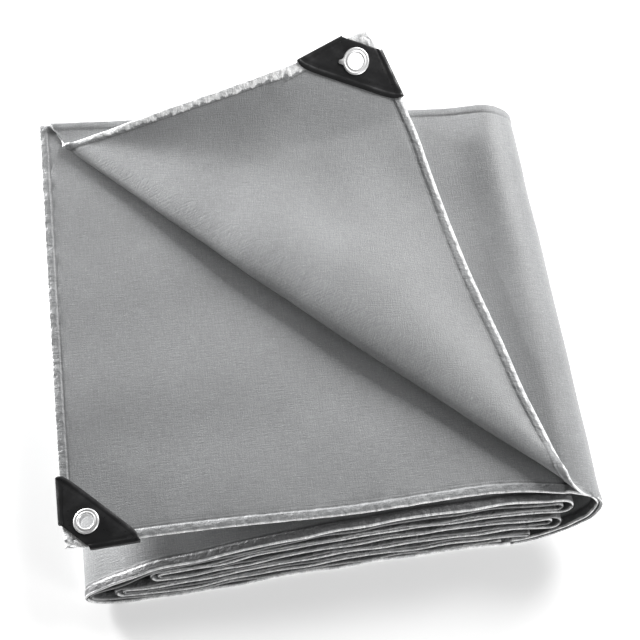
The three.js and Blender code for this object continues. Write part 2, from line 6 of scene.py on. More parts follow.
import bpy
import numpy as np
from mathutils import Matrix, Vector

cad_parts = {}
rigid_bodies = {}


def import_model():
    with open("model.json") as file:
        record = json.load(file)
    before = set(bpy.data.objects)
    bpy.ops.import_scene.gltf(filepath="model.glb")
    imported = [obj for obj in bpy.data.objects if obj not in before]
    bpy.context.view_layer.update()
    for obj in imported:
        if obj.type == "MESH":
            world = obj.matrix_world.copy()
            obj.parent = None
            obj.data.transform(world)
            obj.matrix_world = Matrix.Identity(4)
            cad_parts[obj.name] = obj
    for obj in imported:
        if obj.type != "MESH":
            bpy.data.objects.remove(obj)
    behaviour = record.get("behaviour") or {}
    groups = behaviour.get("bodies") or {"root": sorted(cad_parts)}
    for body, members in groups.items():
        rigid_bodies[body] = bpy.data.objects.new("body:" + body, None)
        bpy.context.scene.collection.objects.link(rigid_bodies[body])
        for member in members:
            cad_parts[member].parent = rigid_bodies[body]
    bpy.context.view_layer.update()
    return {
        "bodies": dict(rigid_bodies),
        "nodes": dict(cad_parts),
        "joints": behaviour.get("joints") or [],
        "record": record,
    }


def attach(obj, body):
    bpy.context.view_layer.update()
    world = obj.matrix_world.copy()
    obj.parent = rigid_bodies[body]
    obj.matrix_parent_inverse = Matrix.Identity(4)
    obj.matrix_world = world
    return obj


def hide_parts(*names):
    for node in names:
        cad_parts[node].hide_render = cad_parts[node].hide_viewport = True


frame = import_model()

# Sizes are millimetres in the pack's own plan: x along its front, y towards its back and z up,
# from the front left corner of the second sheet. SHEET_CORNER is that corner in the part's frame
SHEET_CORNER = (-197.337, -202.449, 0.0)
MM = 0.001

# Further than any place on the cloth
FAR = 1000.0

# Cloth: the hems are thicker, with rounded edges and a welded groove beside the plain cloth
CLOTH_HALF = 0.7
HEM_PROFILE = {
    "in": [0.0, 0.22, 0.65, 1.3, 3.4, 5.6, 6.7, 7.4, 8.3, 9.5],
    "half": [0.42, 0.78, 1.02, 1.12, 1.2, 1.12, 0.95, 0.5, 0.58, 0.7],
}
BODY_INSET = HEM_PROFILE["in"][-1]

# Pack
PACK_DEPTH = 383.5
BACK_TAPER = 0.0535
SIDE_LEAN = 0.045
PLY_PITCH = 3.3
TOP_LEFT_Z = 58.0
TOP_RISE = 0.0122

# Passes of the inner stack, bottom to top: height at the left, the middle and the right
STACK_X = [60.0, 200.0, 350.0]
STACK_Z = [
    [1.1, 1.1, 1.1], [4.1, 4.1, 4.1], [9.0, 10.4, 10.5], [12.0, 13.6, 13.8],
    [16.4, 20.4, 21.0], [19.4, 23.6, 24.3], [23.6, 30.2, 31.5], [26.6, 33.4, 34.8],
    [30.4, 40.0, 42.5], [33.4, 43.2, 45.8], [37.6, 50.4, 54.0], [40.6, 53.6, 57.3],
]
FLOOR_LEVEL = 1
STACK_ACROSS_STEP = 22.0

# Folds of the stack in the order in which the cloth runs: from one pass to the next, how far the
# fold's tip reaches and how long its rounded end is
FOLDS = [
    (1, 12, "left", 9.5, 22.0), (12, 9, "right", 388.0, 9.0), (9, 8, "left", 68.0, 2.4),
    (8, 5, "right", 381.0, 8.0), (5, 4, "left", 39.0, 2.4), (4, 3, "right", 358.0, 1.8),
    (3, 6, "left", 33.0, 5.4), (6, 7, "right", 374.0, 4.0), (7, 10, "left", 62.0, 5.2),
    (10, 11, "right", 380.0, 4.4), (11, 2, "left", 12.9, 21.0),
]
LAST_PASS = 2
BEND_STEPS = 14
RUN_STEP = 7.0
RUN_LEAST_STEPS = 3

# The two pointed noses at the left, by pass: height and x where they start, how far into a pass
# its height eases, and how the front edge of the upper plies stands out there
NOSE_Z = {1: 1.1, 2: 4.1, 11: 24.8, 12: 27.9}
NOSE_START_X = {12: 34.0, 11: 36.4}
NOSE_EASE = 36.0
NOSE_STEPS = 28
NOSE_BELL = {"from_level": 11, "x": 32.0, "width": 30.0, "out": 5.0}

# Front edges: each lower ply lies a little nearer, and more so at the left
STACK_FRONT_X = [30.0, 200.0, 350.0]
STACK_FRONT = [-19.0, -6.0, 2.0]
STACK_STAGGER = [1.0, 1.05, 1.15]
BACK_INSET = 2.0
BACK_STAGGER = 0.5
TOP_FRONT = {
    "x": [0, 60, 160, 225, 318, 352, 386, 404],
    "y": [0, 3, 4, 5, 11, 10, 5, 1.5],
}

# How pale the plies' front hems are, bottom to top, as painted highlight along their edges together
# with worn coat: from 0 to 1 their edge only, and up to 2 a broadening band
STACK_WEAR_AND_HIGHLIGHT = [0.9, 0.3, 0.75, 0.12, 0.85, 0.15, 0.8, 0.12, 0.8, 0.3, 0.15, 1.0]
HEM_WEAR_AND_HIGHLIGHT = {"far": 1.8, "right": 1.28, "bend": 1.0, "left": 0.8, "front": 1.05, "tip": 2.6}

# Paleness of the flap's hem, wear and painted highlight, is at most 1 where the flap is this short,
# and 1 more for this much longer
WEAR_AND_HIGHLIGHT_EASE = {"short": 8.0, "over": 60.0}

# A hem less pale than this, by wear and painted highlight, isn't shown, up to this far inside its edge
NOT_PALE = {"wear_and_highlight": 0.1, "inside": 14.0}

# Distances inside a hem that the material is told: for cloth with no hem, and at most
PLAIN_INSIDE = 20.0
MOST_INSIDE = 40.0

# The loose bend that wraps the right side, outer ply, from the top down to the floor
WRAP = {
    "x": [386, 396, 404, 409, 410.8, 409.5, 404.5, 396, 384, 370, 357, 344],
    "z": [65.6, 64.2, 60.8, 55, 47.5, 39, 30, 21.5, 13, 6.4, 2.4, 1.1],
    "y": [5, 3, 1.5, 0, -1, -2.5, -4.5, -6, -7.5, -9, -10, -11],
}
WRAP_CROWN_ROW = 2
WRAP_FINE_STEPS = 400
WRAP_STEPS = 60
WRAP_FOOT_FROM = 0.85
INNER_FRONT_RATE = 0.3

# Second sheet: first station past its left hem, the step between stations, how clear the last one
# keeps of the bend, and the step across
SECOND_SHEET = {"from": 13.0, "step": 3.6, "clear": 3.0, "across": 4.4}

# Top sheet: its front left corner is rolled back over the line from FOLD_A to the crown of the bend
TOP_LEFT_EDGE = (-8.0, 384.0)
FOLD_A = (4.0, 362.0)
FOLD_B_FRONT = 1.5

# Radius of the roll, which swells between its ends
ROLL = {"start": 3.0, "end": 6.5, "swell": 5.0}

# The roll's upper half is drawn out to a soft crown, which narrows to its ends by this power and
# takes at most this share of a flap, and its height is lessened, more so past the middle
CROWN = {"width": 17.0, "ends": 0.6, "share": 0.16}
SOFT_TOP = {"left": 0.88, "less": 0.28, "from": 0.5, "over": 0.4}
FLAP_GAP = 2.9
FLAP_EASE = 160.0
LIFT = {"slope": 0.36, "flat_to": 76.0, "ends_at": 88.0, "full_from": 190.0}

# The flap's right part stands a little higher over the sheet, by share of the fold
HELD_UP = {"rise": 3.5, "from": 0.5, "over": 0.3, "ends_over": 0.12}

# The flap's free hem, unrolled: how far it lies from the fold, by distance along the fold
FLAP_HEM = {
    "x": [0, 35, 91, 126, 152.3, 223, 243, 297, 355, 410, 447, 487, 510, 538.43],
    "length": [0, 50, 134, 190, 257.2, 229, 216.6, 174.5, 129, 89, 60, 33.5, 20, 0],
}
CORNER_X = 152.3

# The hem's bends are eased this far to each side, except this near its corner and ends. Near the
# corner both hems are taken as straight lines
HEM_BENDS = {"ease": 12.0, "samples": 9, "kept": 13.0, "straight": 26.0}

# On a strip too short for its hem, the hem takes this share of it. Below NO_FLAP a strip has no
# flap, and up to AT_END from the fold a strip of the free left end is at that end
SHORT_HEM = 0.36
NO_FLAP = 1e-3
AT_END = 0.5

# Strips of the top sheet: how many there are at its left end, along the fold and round the bend,
# and how many points each has. The roll's points run a little past it, up to a share of the flap
STRIPS = {"left": 8, "fold": 175, "bend": 41}
STRIP_ROWS = {"roll": 21, "flat": 42, "lying": 44}
ROLL_ROWS = {"past": 1.1, "most": 0.6}
REACH_ROUNDS = 30
SAME_PLACE_DIGITS = 3

# The flap's tapes run askew from the sheet's, in degrees, and its hem's waves take this much of
# each strip
FLAP_TAPES_TURN = 10.0
STRIP_WAVE = 4.8

# Soft ridges of the lying sheets: from and to in plan, half width and height
RIDGES = [
    (368, 372, 386, 60, 20.0, 4.2),
    (150, 372, 20, 380, 14.0, 0.5),
]
DROOP = {"slope": 0.065, "flat_to": 78.0, "ends_at": 190.0}

# Small unevenness. A hem is crinkled in long and short waves that fade inwards, the plain cloth
# swells softly, and both are calm near the floor. The stack's front edges also sway
RIPPLE = {"waves": 8, "shortest": 0.7, "longest": 1.5, "evened": 4}
HEM_CRINKLE = {"fade": 11.0, "long": 19.0, "short": 8.0, "short_share": 0.6, "most_inside": 60.0}
STACK_CRINKLE = {"fade": 12.0, "long": 23.0, "short": 9.0, "short_share": 0.5, "rise": 0.22}
STACK_SWAY = {"out": 0.9, "length": 46.0, "to_y": 100.0}
CRINKLE_RISE = {"top": 0.3, "second": 0.34}
SWELL = {"rise": 0.4, "length": 95.0}
FLOOR_CALM = {"height": 1.5, "over": 9.0}
SEEDS = {"stack": 11, "top": 31, "second": 51, "patch_lower": 71, "patch_upper": 81}

# Corner patches. PATCH_HOLD is in shares of the patch's leg: how far it holds the cloth flat
PATCH = {
    "leg": 61.5, "clip": 20.0, "margin": 3.3, "seat": 1.6, "ply": 0.9, "bulge": 1.6, "blunt": 3.5,
    "bend": 1.5, "bulge_way": 0.7,
}
PATCH_TOP = PATCH["seat"] + PATCH["ply"]
PATCH_HOLD = {"to": 1.15, "over": 0.6}
PATCH_ROWS = {"edge": [0, 0.25, 0.7, 1.3, 2.1, 3.0], "clear": 4.0, "middle": 15, "across": 42, "bend": 7}
PATCH_EDGE = {"in": [0, 0.25, 0.7, 1.3], "half": [0.2, 0.34, 0.43, 0.45]}
PATCH_WAVE = {"rise": 0.3, "length": 34.0, "from_side": 12.0}

# The patch closes down to the cloth along its long side, from this far beside its hems
LIP = {"beside": 8.0, "over": 6.0, "long": 5.0, "to": 1.45}

# Ribs and grooves pressed along the long side and the welded sides: how far in, half width, rise
LONG_RIM = [(1.9, 0.7, 0.42), (4.0, 0.8, -0.2)]
WELDS = [(1.5, 0.7, 0.38), (3.4, 0.8, -0.22)]
FLAT_SHARE = 0.9

# The cloth's own tip beyond the patch's clipped side: where it is crumpled, the length and height
# of its waves along the corner's axes, and where its pale coat shows, worn and with painted highlight
TIP = {
    "height": 8.0, "beside": 4.0, "clear": 3.0, "over": 9.0, "waves": (9.0, 9.0, 6.5),
    "shift": (3, -5), "size": (0.9, 0.9, 1.5), "pull": (1.0, 1.0, 0.0),
}
TIP_SHOWN = {"height": 9.0, "beside": 5.0, "past_clip": 4.0}

# The rolled corner's patch and eyelet are a size larger than the lower ones
UPPER_SCALE = 1.2

# Steps along both hems that give a corner its directions. The lower one's front hem has moved in
# by a little there
HEM_STEP = 10.0
LOWER_STEP = 30.0
LOWER_FRONT = 1.5

# Eyelets
EYELET = {"inset": 19.0, "hole": 5.6, "wall": 0.9, "clear": 0.35, "depth": 6.0, "barrel": 1.3}
RING_SIDES = 72

# Eyelet from its barrel up inside, over the rolled rim and back under it: radius, height over the
# patch. The barrel's foot is inside, outside and below, with its height over the foot
EYELET_RIM = [
    (5.6, -0.4), (5.62, 0.3), (5.8, 0.85), (6.25, 1.25), (6.8, 1.32), (7.25, 1.1), (7.7, 0.88),
    (8.2, 0.92), (8.7, 1.1), (9.2, 1.12), (9.65, 0.85), (9.95, 0.4), (10.0, 0.02), (9.9, -0.02),
    (8.2, 0.0), (6.5, 0.0),
]
EYELET_FOOT = [(5.6, 0.3), (6.5, 0.0), (5.9, -0.1)]
WASHER_RIM = [(7.0, 0.0), (9.7, 0.0), (9.95, 0.2), (9.8, 0.6), (9.2, 0.8), (8.0, 0.75), (7.0, 0.7)]

# Burr on the upper eyelet's left edge: how far it stands out, half its angle, and where it starts
BURR = {"out": 3.2, "half_angle": 0.17, "from_radius": 9.3}

# Coat of the cloth with painted light: plain; painted shade in the groove beside a hem, on a stacked
# hem's face and in hollows; and pale edges, worn coat with painted highlight, where it is worn and where
# it is gone
COAT_AND_PAINTED_LIGHT = {
    # The groove, stacked and hollow colours are painted shade; the two pale ones are worn coat with
    # painted highlight
    "plain": "#8E8F90", "groove": "#3C3C3D", "stacked": "#4C4C4D", "hollow": "#1C1C1D",
    "worn_and_highlit": "#D4D5D6", "gone_and_highlit": "#F8F8F8",
}
GROOVE_AT = 7.9

# Marks that the tapes leave in the coat, width and run in millimetres, and noises by their waves
# to the millimetre
TAPE = {"wide": 0.9, "run": 13.0, "dash_wide": 2.6, "dash_run": 0.75}
NOISE = {"grain": 1.1, "crease": 0.17, "cloud": 0.012}

# Studio, in metres: each light's place, what it faces, its size and its power in watts
LIGHTS = {
    "key": ((1.05, 1.2, 1.1), (0, 0.05, 0.05), (1.0, 1.0), 48),
    "left_rim": ((-1.28, 1.2, 0.15), (0, 0, 0.04), (0.5, 0.2), 125),
    "front_rim": ((1.3, -1.25, 0.2), (0, 0, 0.03), (0.6, 0.3), 26),
}
WORLD_LIGHT = 0.16
FLOOR = {"half": 3.0, "colour": "#F7F7F7", "roughness": 0.95, "glow": 0.42}
CAMERA = {"place": (163.0, -340.8, 1069.6), "tilt": 27.0, "turn": -5.202, "lens": 78.75, "sensor": 36.0}


def unit(vector):
    """A vector, or the last axis of an array of them, at length 1."""
    length = np.linalg.norm(vector, axis=-1, keepdims=True)
    return vector / np.maximum(length, 1e-12)


def cubic(x, xs, ys, slope):
    """Cubic pieces through a table's rows, with the slope given at each row."""
    k = np.clip(np.searchsorted(xs, x) - 1, 0, len(xs) - 2)
    span, rise = xs[k + 1] - xs[k], ys[k + 1] - ys[k]
    t = (x - xs[k]) / span
    bow = t * (1 - t) * ((1 - t) * (slope[k] * span - rise) - t * (slope[k + 1] * span - rise))
    return ys[k] + rise * t + bow


def smooth(x, xs, ys):
    """Smooth curve through a table's rows, whose slopes at the inner rows are those between their
    neighbours, and level at both ends, beyond which the curve stays level."""
    xs, ys = np.asarray(xs, float), np.asarray(ys, float)
    slope = np.zeros_like(ys)
    slope[1:-1] = (ys[2:] - ys[:-2]) / (xs[2:] - xs[:-2])
    return cubic(np.clip(x, xs[0], xs[-1]), xs, ys, slope)


def free_curve(x, xs, ys):
    """Smooth curve through a table's rows with free ends."""
    xs, ys = np.asarray(xs, float), np.asarray(ys, float)
    return cubic(x, xs, ys, np.gradient(ys, xs))


def level_ended(share):
    """A share held between 0 and 1, with level ends: the cube curve 3k^2 - 2k^3."""
    k = np.clip(share, 0, 1)
    return k * k * (3 - 2 * k)


def eased(rule, distance):
    """Straight slope up to one distance, easing out to nothing at another."""
    slope, flat_to, ends_at = rule["slope"], rule["flat_to"], rule["ends_at"]
    past = slope * (ends_at - flat_to) / 2
    inner = slope * (flat_to - distance) + past
    outer = slope * np.clip(ends_at - distance, 0, None) ** 2 / (2 * (ends_at - flat_to))
    return np.where(distance <= flat_to, inner, outer)


def ripple(u, v, length, seed):
    """Even random waves: a sum of cosines of about one wave length, each in a random direction."""
    draw = np.random.default_rng(seed)
    total = 0.0
    for _ in range(RIPPLE["waves"]):
        turn, phase = draw.uniform(0, 2 * math.pi, 2)
        size = length * draw.uniform(RIPPLE["shortest"], RIPPLE["longest"])
        way = u * math.cos(turn) + v * math.sin(turn)
        total = total + np.cos(2 * math.pi * way / size + phase)
    return total / RIPPLE["evened"]


def crinkle(along, inside, rule, seed):
    """Long and short waves of a hem, fading inwards in a bell shape. The long ones run out half
    as fast across the hem as along it."""
    long = ripple(along, inside * 0.5, rule["long"], seed)
    short = ripple(along, inside, rule["short"], seed + 1)
    return np.exp(-((inside / rule["fade"]) ** 2)) * (long + rule["short_share"] * short)


def stack_z(level, x):
    """Height of a pass of the stack."""
    return smooth(x, STACK_X, STACK_Z[level - 1])


def stack_front(level, x):
    """Front edge of a pass, nearer by the stagger for each pass down from the top."""
    down = len(STACK_Z) - level
    edge = smooth(x, STACK_FRONT_X, np.array(STACK_FRONT) - down * np.array(STACK_STAGGER))
    if level < NOSE_BELL["from_level"]:
        return edge
    return edge - NOSE_BELL["out"] * np.exp(-(((x - NOSE_BELL["x"]) / NOSE_BELL["width"]) ** 2))


def back_edge(x):
    """Back edge of the upper sheets."""
    return PACK_DEPTH - BACK_TAPER * x


def stack_back(level, x):
    """Back edge of a pass, further in for each pass down from the top."""
    return back_edge(x) - BACK_INSET - BACK_STAGGER * (len(STACK_Z) - level)


def top_z(x):
    """Height of the second sheet."""
    return TOP_LEFT_Z + TOP_RISE * x


def hem_half(inside):
    """Half thickness at a distance inside a hemmed edge."""
    return np.interp(inside, HEM_PROFILE["in"], HEM_PROFILE["half"])


def edge_rows(front, back, step):
    """Distances across the cloth from one hemmed edge to the other: the hem's own rows at both,
    and even ones between them. One row of the result for each station."""
    near = np.array(HEM_PROFILE["in"])
    count = int(np.median(back - front) / step)
    span = (back - front)[:, None]
    middle = BODY_INSET + (span - 2 * BODY_INSET) * np.linspace(0, 1, count)[None, 1:-1]
    start = np.broadcast_to(near, (len(front), len(near)))
    return np.concatenate([start, middle, span - start[:, ::-1]], axis=1)


def normals_of(points, closed=False):
    """Normals of a grid of points, across its two directions, the second of which may close."""
    along = np.gradient(points, axis=0)
    if closed:
        across = np.roll(points, -1, axis=1) - np.roll(points, 1, axis=1)
    else:
        across = np.gradient(points, axis=1)
    return unit(np.cross(along, across))


def grid_cells(rows, columns, closed=False, rolled=False):
    """Quads of a grid whose points are numbered row by row. A closed grid joins its last column to
    its first, and a rolled one its last row to its first as well."""
    row, column = np.meshgrid(
        np.arange(rows if rolled else rows - 1), np.arange(columns if closed else columns - 1),
        indexing="ij",
    )
    next_row, next_column = (row + 1) % rows, (column + 1) % columns
    pairs = ((row, column), (next_row, column), (next_row, next_column), (row, next_column))
    return np.stack([(a * columns + b).reshape(-1) for a, b in pairs], axis=1)


def facing_out(vertices, quads):
    """The quads, turned over if they enclose a negative volume."""
    a, b, c, d = (vertices[quads[:, k]] for k in range(4))
    volume = (np.cross(a, b) * c).sum() + (np.cross(a, c) * d).sum()
    return quads if volume > 0 else quads[:, ::-1]


def mesh_object(name, vertices, quads, uv=None, values=None):
    """A smooth shaded object of points in metres in the part's frame, made from whole arrays. A
    triangle is a quad whose last corner is -1."""
    mesh = bpy.data.meshes.new(name)
    triangle = quads[:, 3] < 0
    sizes = np.where(triangle, 3, 4)
    loops = quads.reshape(-1)[quads.reshape(-1) >= 0]
    starts = np.concatenate([[0], np.cumsum(sizes)[:-1]])
    mesh.vertices.add(len(vertices))
    mesh.vertices.foreach_set("co", vertices.astype(np.float32).ravel())
    mesh.loops.add(len(loops))
    mesh.loops.foreach_set("vertex_index", loops.astype(np.int32))
    mesh.polygons.add(len(quads))
    mesh.polygons.foreach_set("loop_start", starts.astype(np.int32))
    mesh.polygons.foreach_set("use_smooth", np.ones(len(quads), bool))
    mesh.update(calc_edges=True)
    if uv is not None:
        layer = mesh.uv_layers.new(name="cloth_mm")
        layer.data.foreach_set("uv", uv[loops].astype(np.float32).ravel())
    for key, value in (values or {}).items():
        layer = mesh.attributes.new(key, "FLOAT", "POINT")
        layer.data.foreach_set("value", value.astype(np.float32))
    piece = bpy.data.objects.new(name, mesh)
    bpy.context.scene.collection.objects.link(piece)
    return piece


def shell(name, points, normals, halves, quads, uv=None, values=None):
    """Closed sheet: a face on each side of the middle surface, half the thickness away, and a wall
    along each free edge."""
    count = len(points)
    offset = normals * halves[:, None]
    other = np.where(quads < 0, -1, quads + count)[:, ::-1]
    other = np.where(other[:, :1] < 0, np.roll(other, -1, axis=1), other)
    nexts = np.roll(quads, -1, axis=1)
    nexts = np.where(nexts < 0, quads[:, :1], nexts)
    valid = quads.reshape(-1) >= 0
    a, b = quads.reshape(-1)[valid], nexts.reshape(-1)[valid]
    free = ~np.isin(a * count + b, b * count + a)
    wall = np.stack([b[free], a[free], a[free] + count, b[free] + count], axis=1)
    vertices = np.concatenate([points + offset, points - offset])
    faces = np.concatenate([quads, other, wall])
    used, faces = in_use(faces, len(vertices))
    place = (vertices[used] + np.array(SHEET_CORNER)) * MM
    if uv is None:
        return mesh_object(name, place, faces)
    doubled = {key: np.concatenate([value, value])[used] for key, value in values.items()}
    # The face that looks down: the cloth's material paints shade on it and keeps its painted highlight
    # off
    up = normals[:, 2]
    doubled["hem_under"] = np.concatenate([0.5 - 0.5 * up, 0.5 + 0.5 * up])[used]
    return mesh_object(name, place, faces, np.concatenate([uv, uv])[used], doubled)


def in_use(faces, count):
    """Numbers of the points that the faces use, and the faces by their new numbers."""
    used = np.zeros(count, bool)
    used[faces[faces >= 0]] = True
    number = np.cumsum(used) - 1
    return used, np.where(faces < 0, -1, number[faces])


def frame_of(origin, along_hem, other_hem, scale):
    """Corner frame: x along one hem, y along the other, z square to the cloth."""
    x, y = unit(along_hem - origin), unit(other_hem - origin)
    z = unit(np.cross(x, y))
    return origin, np.stack([x * scale, y * scale, z])


def in_frame(points, frame):
    """Places in a corner's own frame."""
    origin, axes = frame
    return (points - origin) @ np.linalg.inv(axes)


def out_of_frame(local, frame):
    """Places in the pack's plan, from those in a corner's own frame."""
    origin, axes = frame
    return origin + local @ axes


def calm(points, frame):
    """0 where a corner's patch holds the cloth flat, rising to 1 away from it."""
    local = in_frame(points, frame)
    reach = np.hypot(local[..., 0], local[..., 1]) / PATCH["leg"]
    return level_ended((reach - PATCH_HOLD["to"]) / PATCH_HOLD["over"])


def crumple_tip(points, frame, seed):
    """The cloth's own tip beyond the patch's clipped side: pulled in a little, and crumpled like
    foil by short ripples in all three directions."""
    local = in_frame(points, frame)
    x, y = local[..., 0], local[..., 1]
    near = (abs(local[..., 2]) < TIP["height"]) & (np.minimum(x, y) > -TIP["beside"])
    bare = np.clip((PATCH["clip"] - TIP["clear"] - x - y) / TIP["over"], 0, 1) * near
    by_x, by_y = TIP["shift"]
    waves = [
        ripple(x + by_x * k, y + by_y * k, size, seed + k) for k, size in enumerate(TIP["waves"])
    ]
    local = local + np.stack(waves, axis=-1) * bare[..., None] * np.array(TIP["size"])
    pull = (bare ** 2)[..., None] * np.array(TIP["pull"])
    return out_of_frame(local + pull, frame)


def at_tip(points, frame):
    """Where the cloth's tip shows beyond the clipped side of a corner's patch."""
    x, y, z = np.moveaxis(in_frame(points, frame), -1, 0)
    beside = np.minimum(x, y) > -TIP_SHOWN["beside"]
    past = x + y < PATCH["clip"] + TIP_SHOWN["past_clip"]
    return (abs(z) < TIP_SHOWN["height"]) & beside & past


def clear_of_eyelet(points, quads, frame):
    """The quads that keep clear of an eyelet's barrel."""
    local = in_frame(points, frame)
    inset = EYELET["inset"]
    away = np.hypot(local[:, 0] - inset, local[:, 1] - inset)
    radius = EYELET["hole"] + EYELET["wall"] + EYELET["clear"]
    away = np.where(abs(local[:, 2]) < EYELET["depth"], away, FAR)
    corners = np.where(quads < 0, quads[:, :1], quads)
    return quads[away[corners].min(axis=1) > radius]


def section_grid(x, z, front, back, step, floor=None, droop=None):
    """Grid of the cloth from the stations of a section: rows run from the front hem to the back
    hem, and x leans with y. Returns points, distance inside the nearest hem and y."""
    across = edge_rows(front, back, step)
    y = front[:, None] + across
    inside = np.minimum(across, (back - front)[:, None] - across)
    height = np.broadcast_to(z[:, None], y.shape).copy()
    if droop is not None:
        height -= np.where(droop[:, None], eased(DROOP, x[:, None] + y), 0)
    if floor is not None:
        height = np.where(floor[:, None], hem_half(inside), height)
    points = np.stack([x[:, None] - SIDE_LEAN * y, y, height], axis=-1)
    return points, inside, y


def arc_length(x, z):
    """Distance along a section from its first point."""
    return np.concatenate([[0], np.cumsum(np.hypot(np.diff(x), np.diff(z)))])


def wrap_curve(inward):
    """The right bend's section, moved in from the outer ply: x, z, front and back at even steps
    from the top down to the floor, where it eases on to its pass of the stack."""
    rows = np.arange(len(WRAP["x"]), dtype=float)
    fine = np.linspace(0, rows[-1], WRAP_FINE_STEPS)
    x, z, y = (free_curve(fine, rows, WRAP[key]) for key in ("x", "z", "y"))
    along = arc_length(x, z)
    even = np.linspace(0, along[-1], WRAP_STEPS)
    x, z, y = (np.interp(even, along, a) for a in (x, z, y))
    level = LAST_PASS if inward else FLOOR_LEVEL
    sunk = even / even[-1]
    dx, dz = np.gradient(x), np.gradient(z)
    length = np.hypot(dx, dz)
    x, z = x + inward * dz / length, z - inward * dx / length
    foot = np.clip((sunk - WRAP_FOOT_FROM) / (1 - WRAP_FOOT_FROM), 0, 1) ** 2
    z = z + (stack_z(level, x) - z) * foot
    front = y + inward * INNER_FRONT_RATE * (1 - foot) + (stack_front(level, x) - y) * foot
    back = back_edge(x) + (stack_back(level, x) - back_edge(x)) * sunk
    return x, z, front, back


def nose_end(start, end, tip):
    """Pointed nose from one pass to another: x runs out along a sine, and the height goes over
    along a half sine, so that the tip lies low."""
    angle = np.linspace(0, math.pi, NOSE_STEPS)
    k = np.sin(angle / 2) if start > end else 1 - np.cos(angle / 2)
    base = NOSE_START_X[max(start, end)]
    return base - (base - tip) * np.sin(angle), NOSE_Z[start] * (1 - k) + NOSE_Z[end] * k, k


def rounded_end(start, end, side, tip, reach):
    """Rounded end between two passes: x runs out along a sine while the height goes over along a
    cosine."""
    angle = np.linspace(0, math.pi, BEND_STEPS)
    k = (1 - np.cos(angle)) / 2
    out = -reach if side == "left" else reach
    base = tip - out
    return base + out * np.sin(angle), stack_z(start, base) * (1 - k) + stack_z(end, base) * k, k


def stack_stations():
    """Stations of the inner stack in the order in which the cloth runs, from the wrap's outer
    foot to its inner one: x, z, front, back, whether the ply lies on the floor, and its wear and
    painted highlight."""
    parts = []
    x_now, last_z = WRAP["x"][-1], None
    for start, end, side, tip, reach in FOLDS:
        if side == "left" and max(start, end) in NOSE_START_X:
            x, z, k = nose_end(start, end, tip)
        else:
            x, z, k = rounded_end(start, end, side, tip, reach)
        front = stack_front(start, x) * (1 - k) + stack_front(end, x) * k
        back = stack_back(start, x) * (1 - k) + stack_back(end, x) * k
        wear_and_highlight = STACK_WEAR_AND_HIGHLIGHT[start - 1] * (1 - k) + STACK_WEAR_AND_HIGHLIGHT[end - 1] * k
        parts.append(straight_run(start, x_now, x[0], z[0], last_z))
        parts.append((x, z, front, back, 0 * x, wear_and_highlight))
        x_now, last_z = x[-1], z[-1]
    parts.append(straight_run(LAST_PASS, x_now, wrap_curve(PLY_PITCH)[0][-1], None, last_z))
    return [np.concatenate(values) for values in zip(*parts)]


def straight_run(level, from_x, to_x, end_z=None, start_z=None):
    """Straight pass of the stack between two ends, easing from and to the heights of the ends.
    Every run but the cloth's first starts one step past the bend before it."""
    count = max(int(abs(to_x - from_x) / RUN_STEP), RUN_LEAST_STEPS)
    x = np.linspace(from_x, to_x, count + 1)[:-1]
    if level != FLOOR_LEVEL or from_x < to_x:
        x = x[1:]
    z = stack_z(level, x)
    for near_x, near_z in ((to_x, end_z), (from_x, start_z)):
        if near_z is not None:
            near = np.clip(1 - abs(x - near_x) / NOSE_EASE, 0, 1)
            z = z + (near_z - stack_z(level, near_x)) * near * near
    floor = np.full(len(x), float(level == FLOOR_LEVEL))
    wear_and_highlight = np.full(len(x), STACK_WEAR_AND_HIGHLIGHT[level - 1])
    return x, z, stack_front(level, x), stack_back(level, x), floor, wear_and_highlight


# The rolled corner, in plan: along the fold, and square to it on to the sheet
crown_x = WRAP["x"][WRAP_CROWN_ROW]
fold_a = np.array(FOLD_A)
fold_b = np.array([crown_x - SIDE_LEAN * FOLD_B_FRONT, FOLD_B_FRONT])
fold_length = np.linalg.norm(fold_b - fold_a)
fold_way = (fold_b - fold_a) / fold_length
fold_in = np.array([-fold_way[1], fold_way[0]])
corner_t = CORNER_X / fold_length


def roll_radius(t):
    """Radius of the roll at a share of the fold, with a swell along a squared sine."""
    swell = ROLL["swell"] * np.sin(math.pi * np.clip(t, 0, 1)) ** 2
    return ROLL["start"] + (ROLL["end"] - ROLL["start"]) * t + swell


def flap_length(t):
    """Unrolled length of the flap, with the hem's bends eased except at its corner and ends."""
    x = t * fold_length
    rows, lengths = FLAP_HEM["x"], FLAP_HEM["length"]
    ease, kept = HEM_BENDS["ease"], HEM_BENDS["kept"]
    steps = np.linspace(-ease, ease, HEM_BENDS["samples"])
    near = [np.interp(x + step, rows, lengths) for step in steps]
    sharp = (abs(x - CORNER_X) < kept) | (x < kept) | (x > fold_length - kept)
    return np.where(sharp, np.interp(x, rows, lengths), np.mean(near, axis=0))


corner_length = float(flap_length(np.array([corner_t]))[0])
corner = fold_a + fold_way * CORNER_X + fold_in * (corner_length - math.pi * roll_radius(corner_t))
far_hem = unit(corner - fold_a)


def outer_curve():
    """The top sheet's section as a table: the distance along it, x, z, front and back."""
    x, z, front, back = wrap_curve(0.0)
    return arc_length(x, z) + x[0], x, z, front, back


def ridge_height(plan):
    """Soft ridges: bell shaped across their line, and fading beyond its ends."""
    height = 0.0
    for x0, y0, x1, y1, width, rise in RIDGES:
        way = np.array([x1 - x0, y1 - y0], float)
        length = np.linalg.norm(way)
        way = way / length
        start = plan - np.array([x0, y0])
        run = start @ way
        off = start[..., 0] * way[1] - start[..., 1] * way[0]
        beyond = np.maximum(np.maximum(-run, run - length), 0)
        height = height + rise * np.exp(-((off / width) ** 2) - (beyond / (2 * width)) ** 2)
    return height


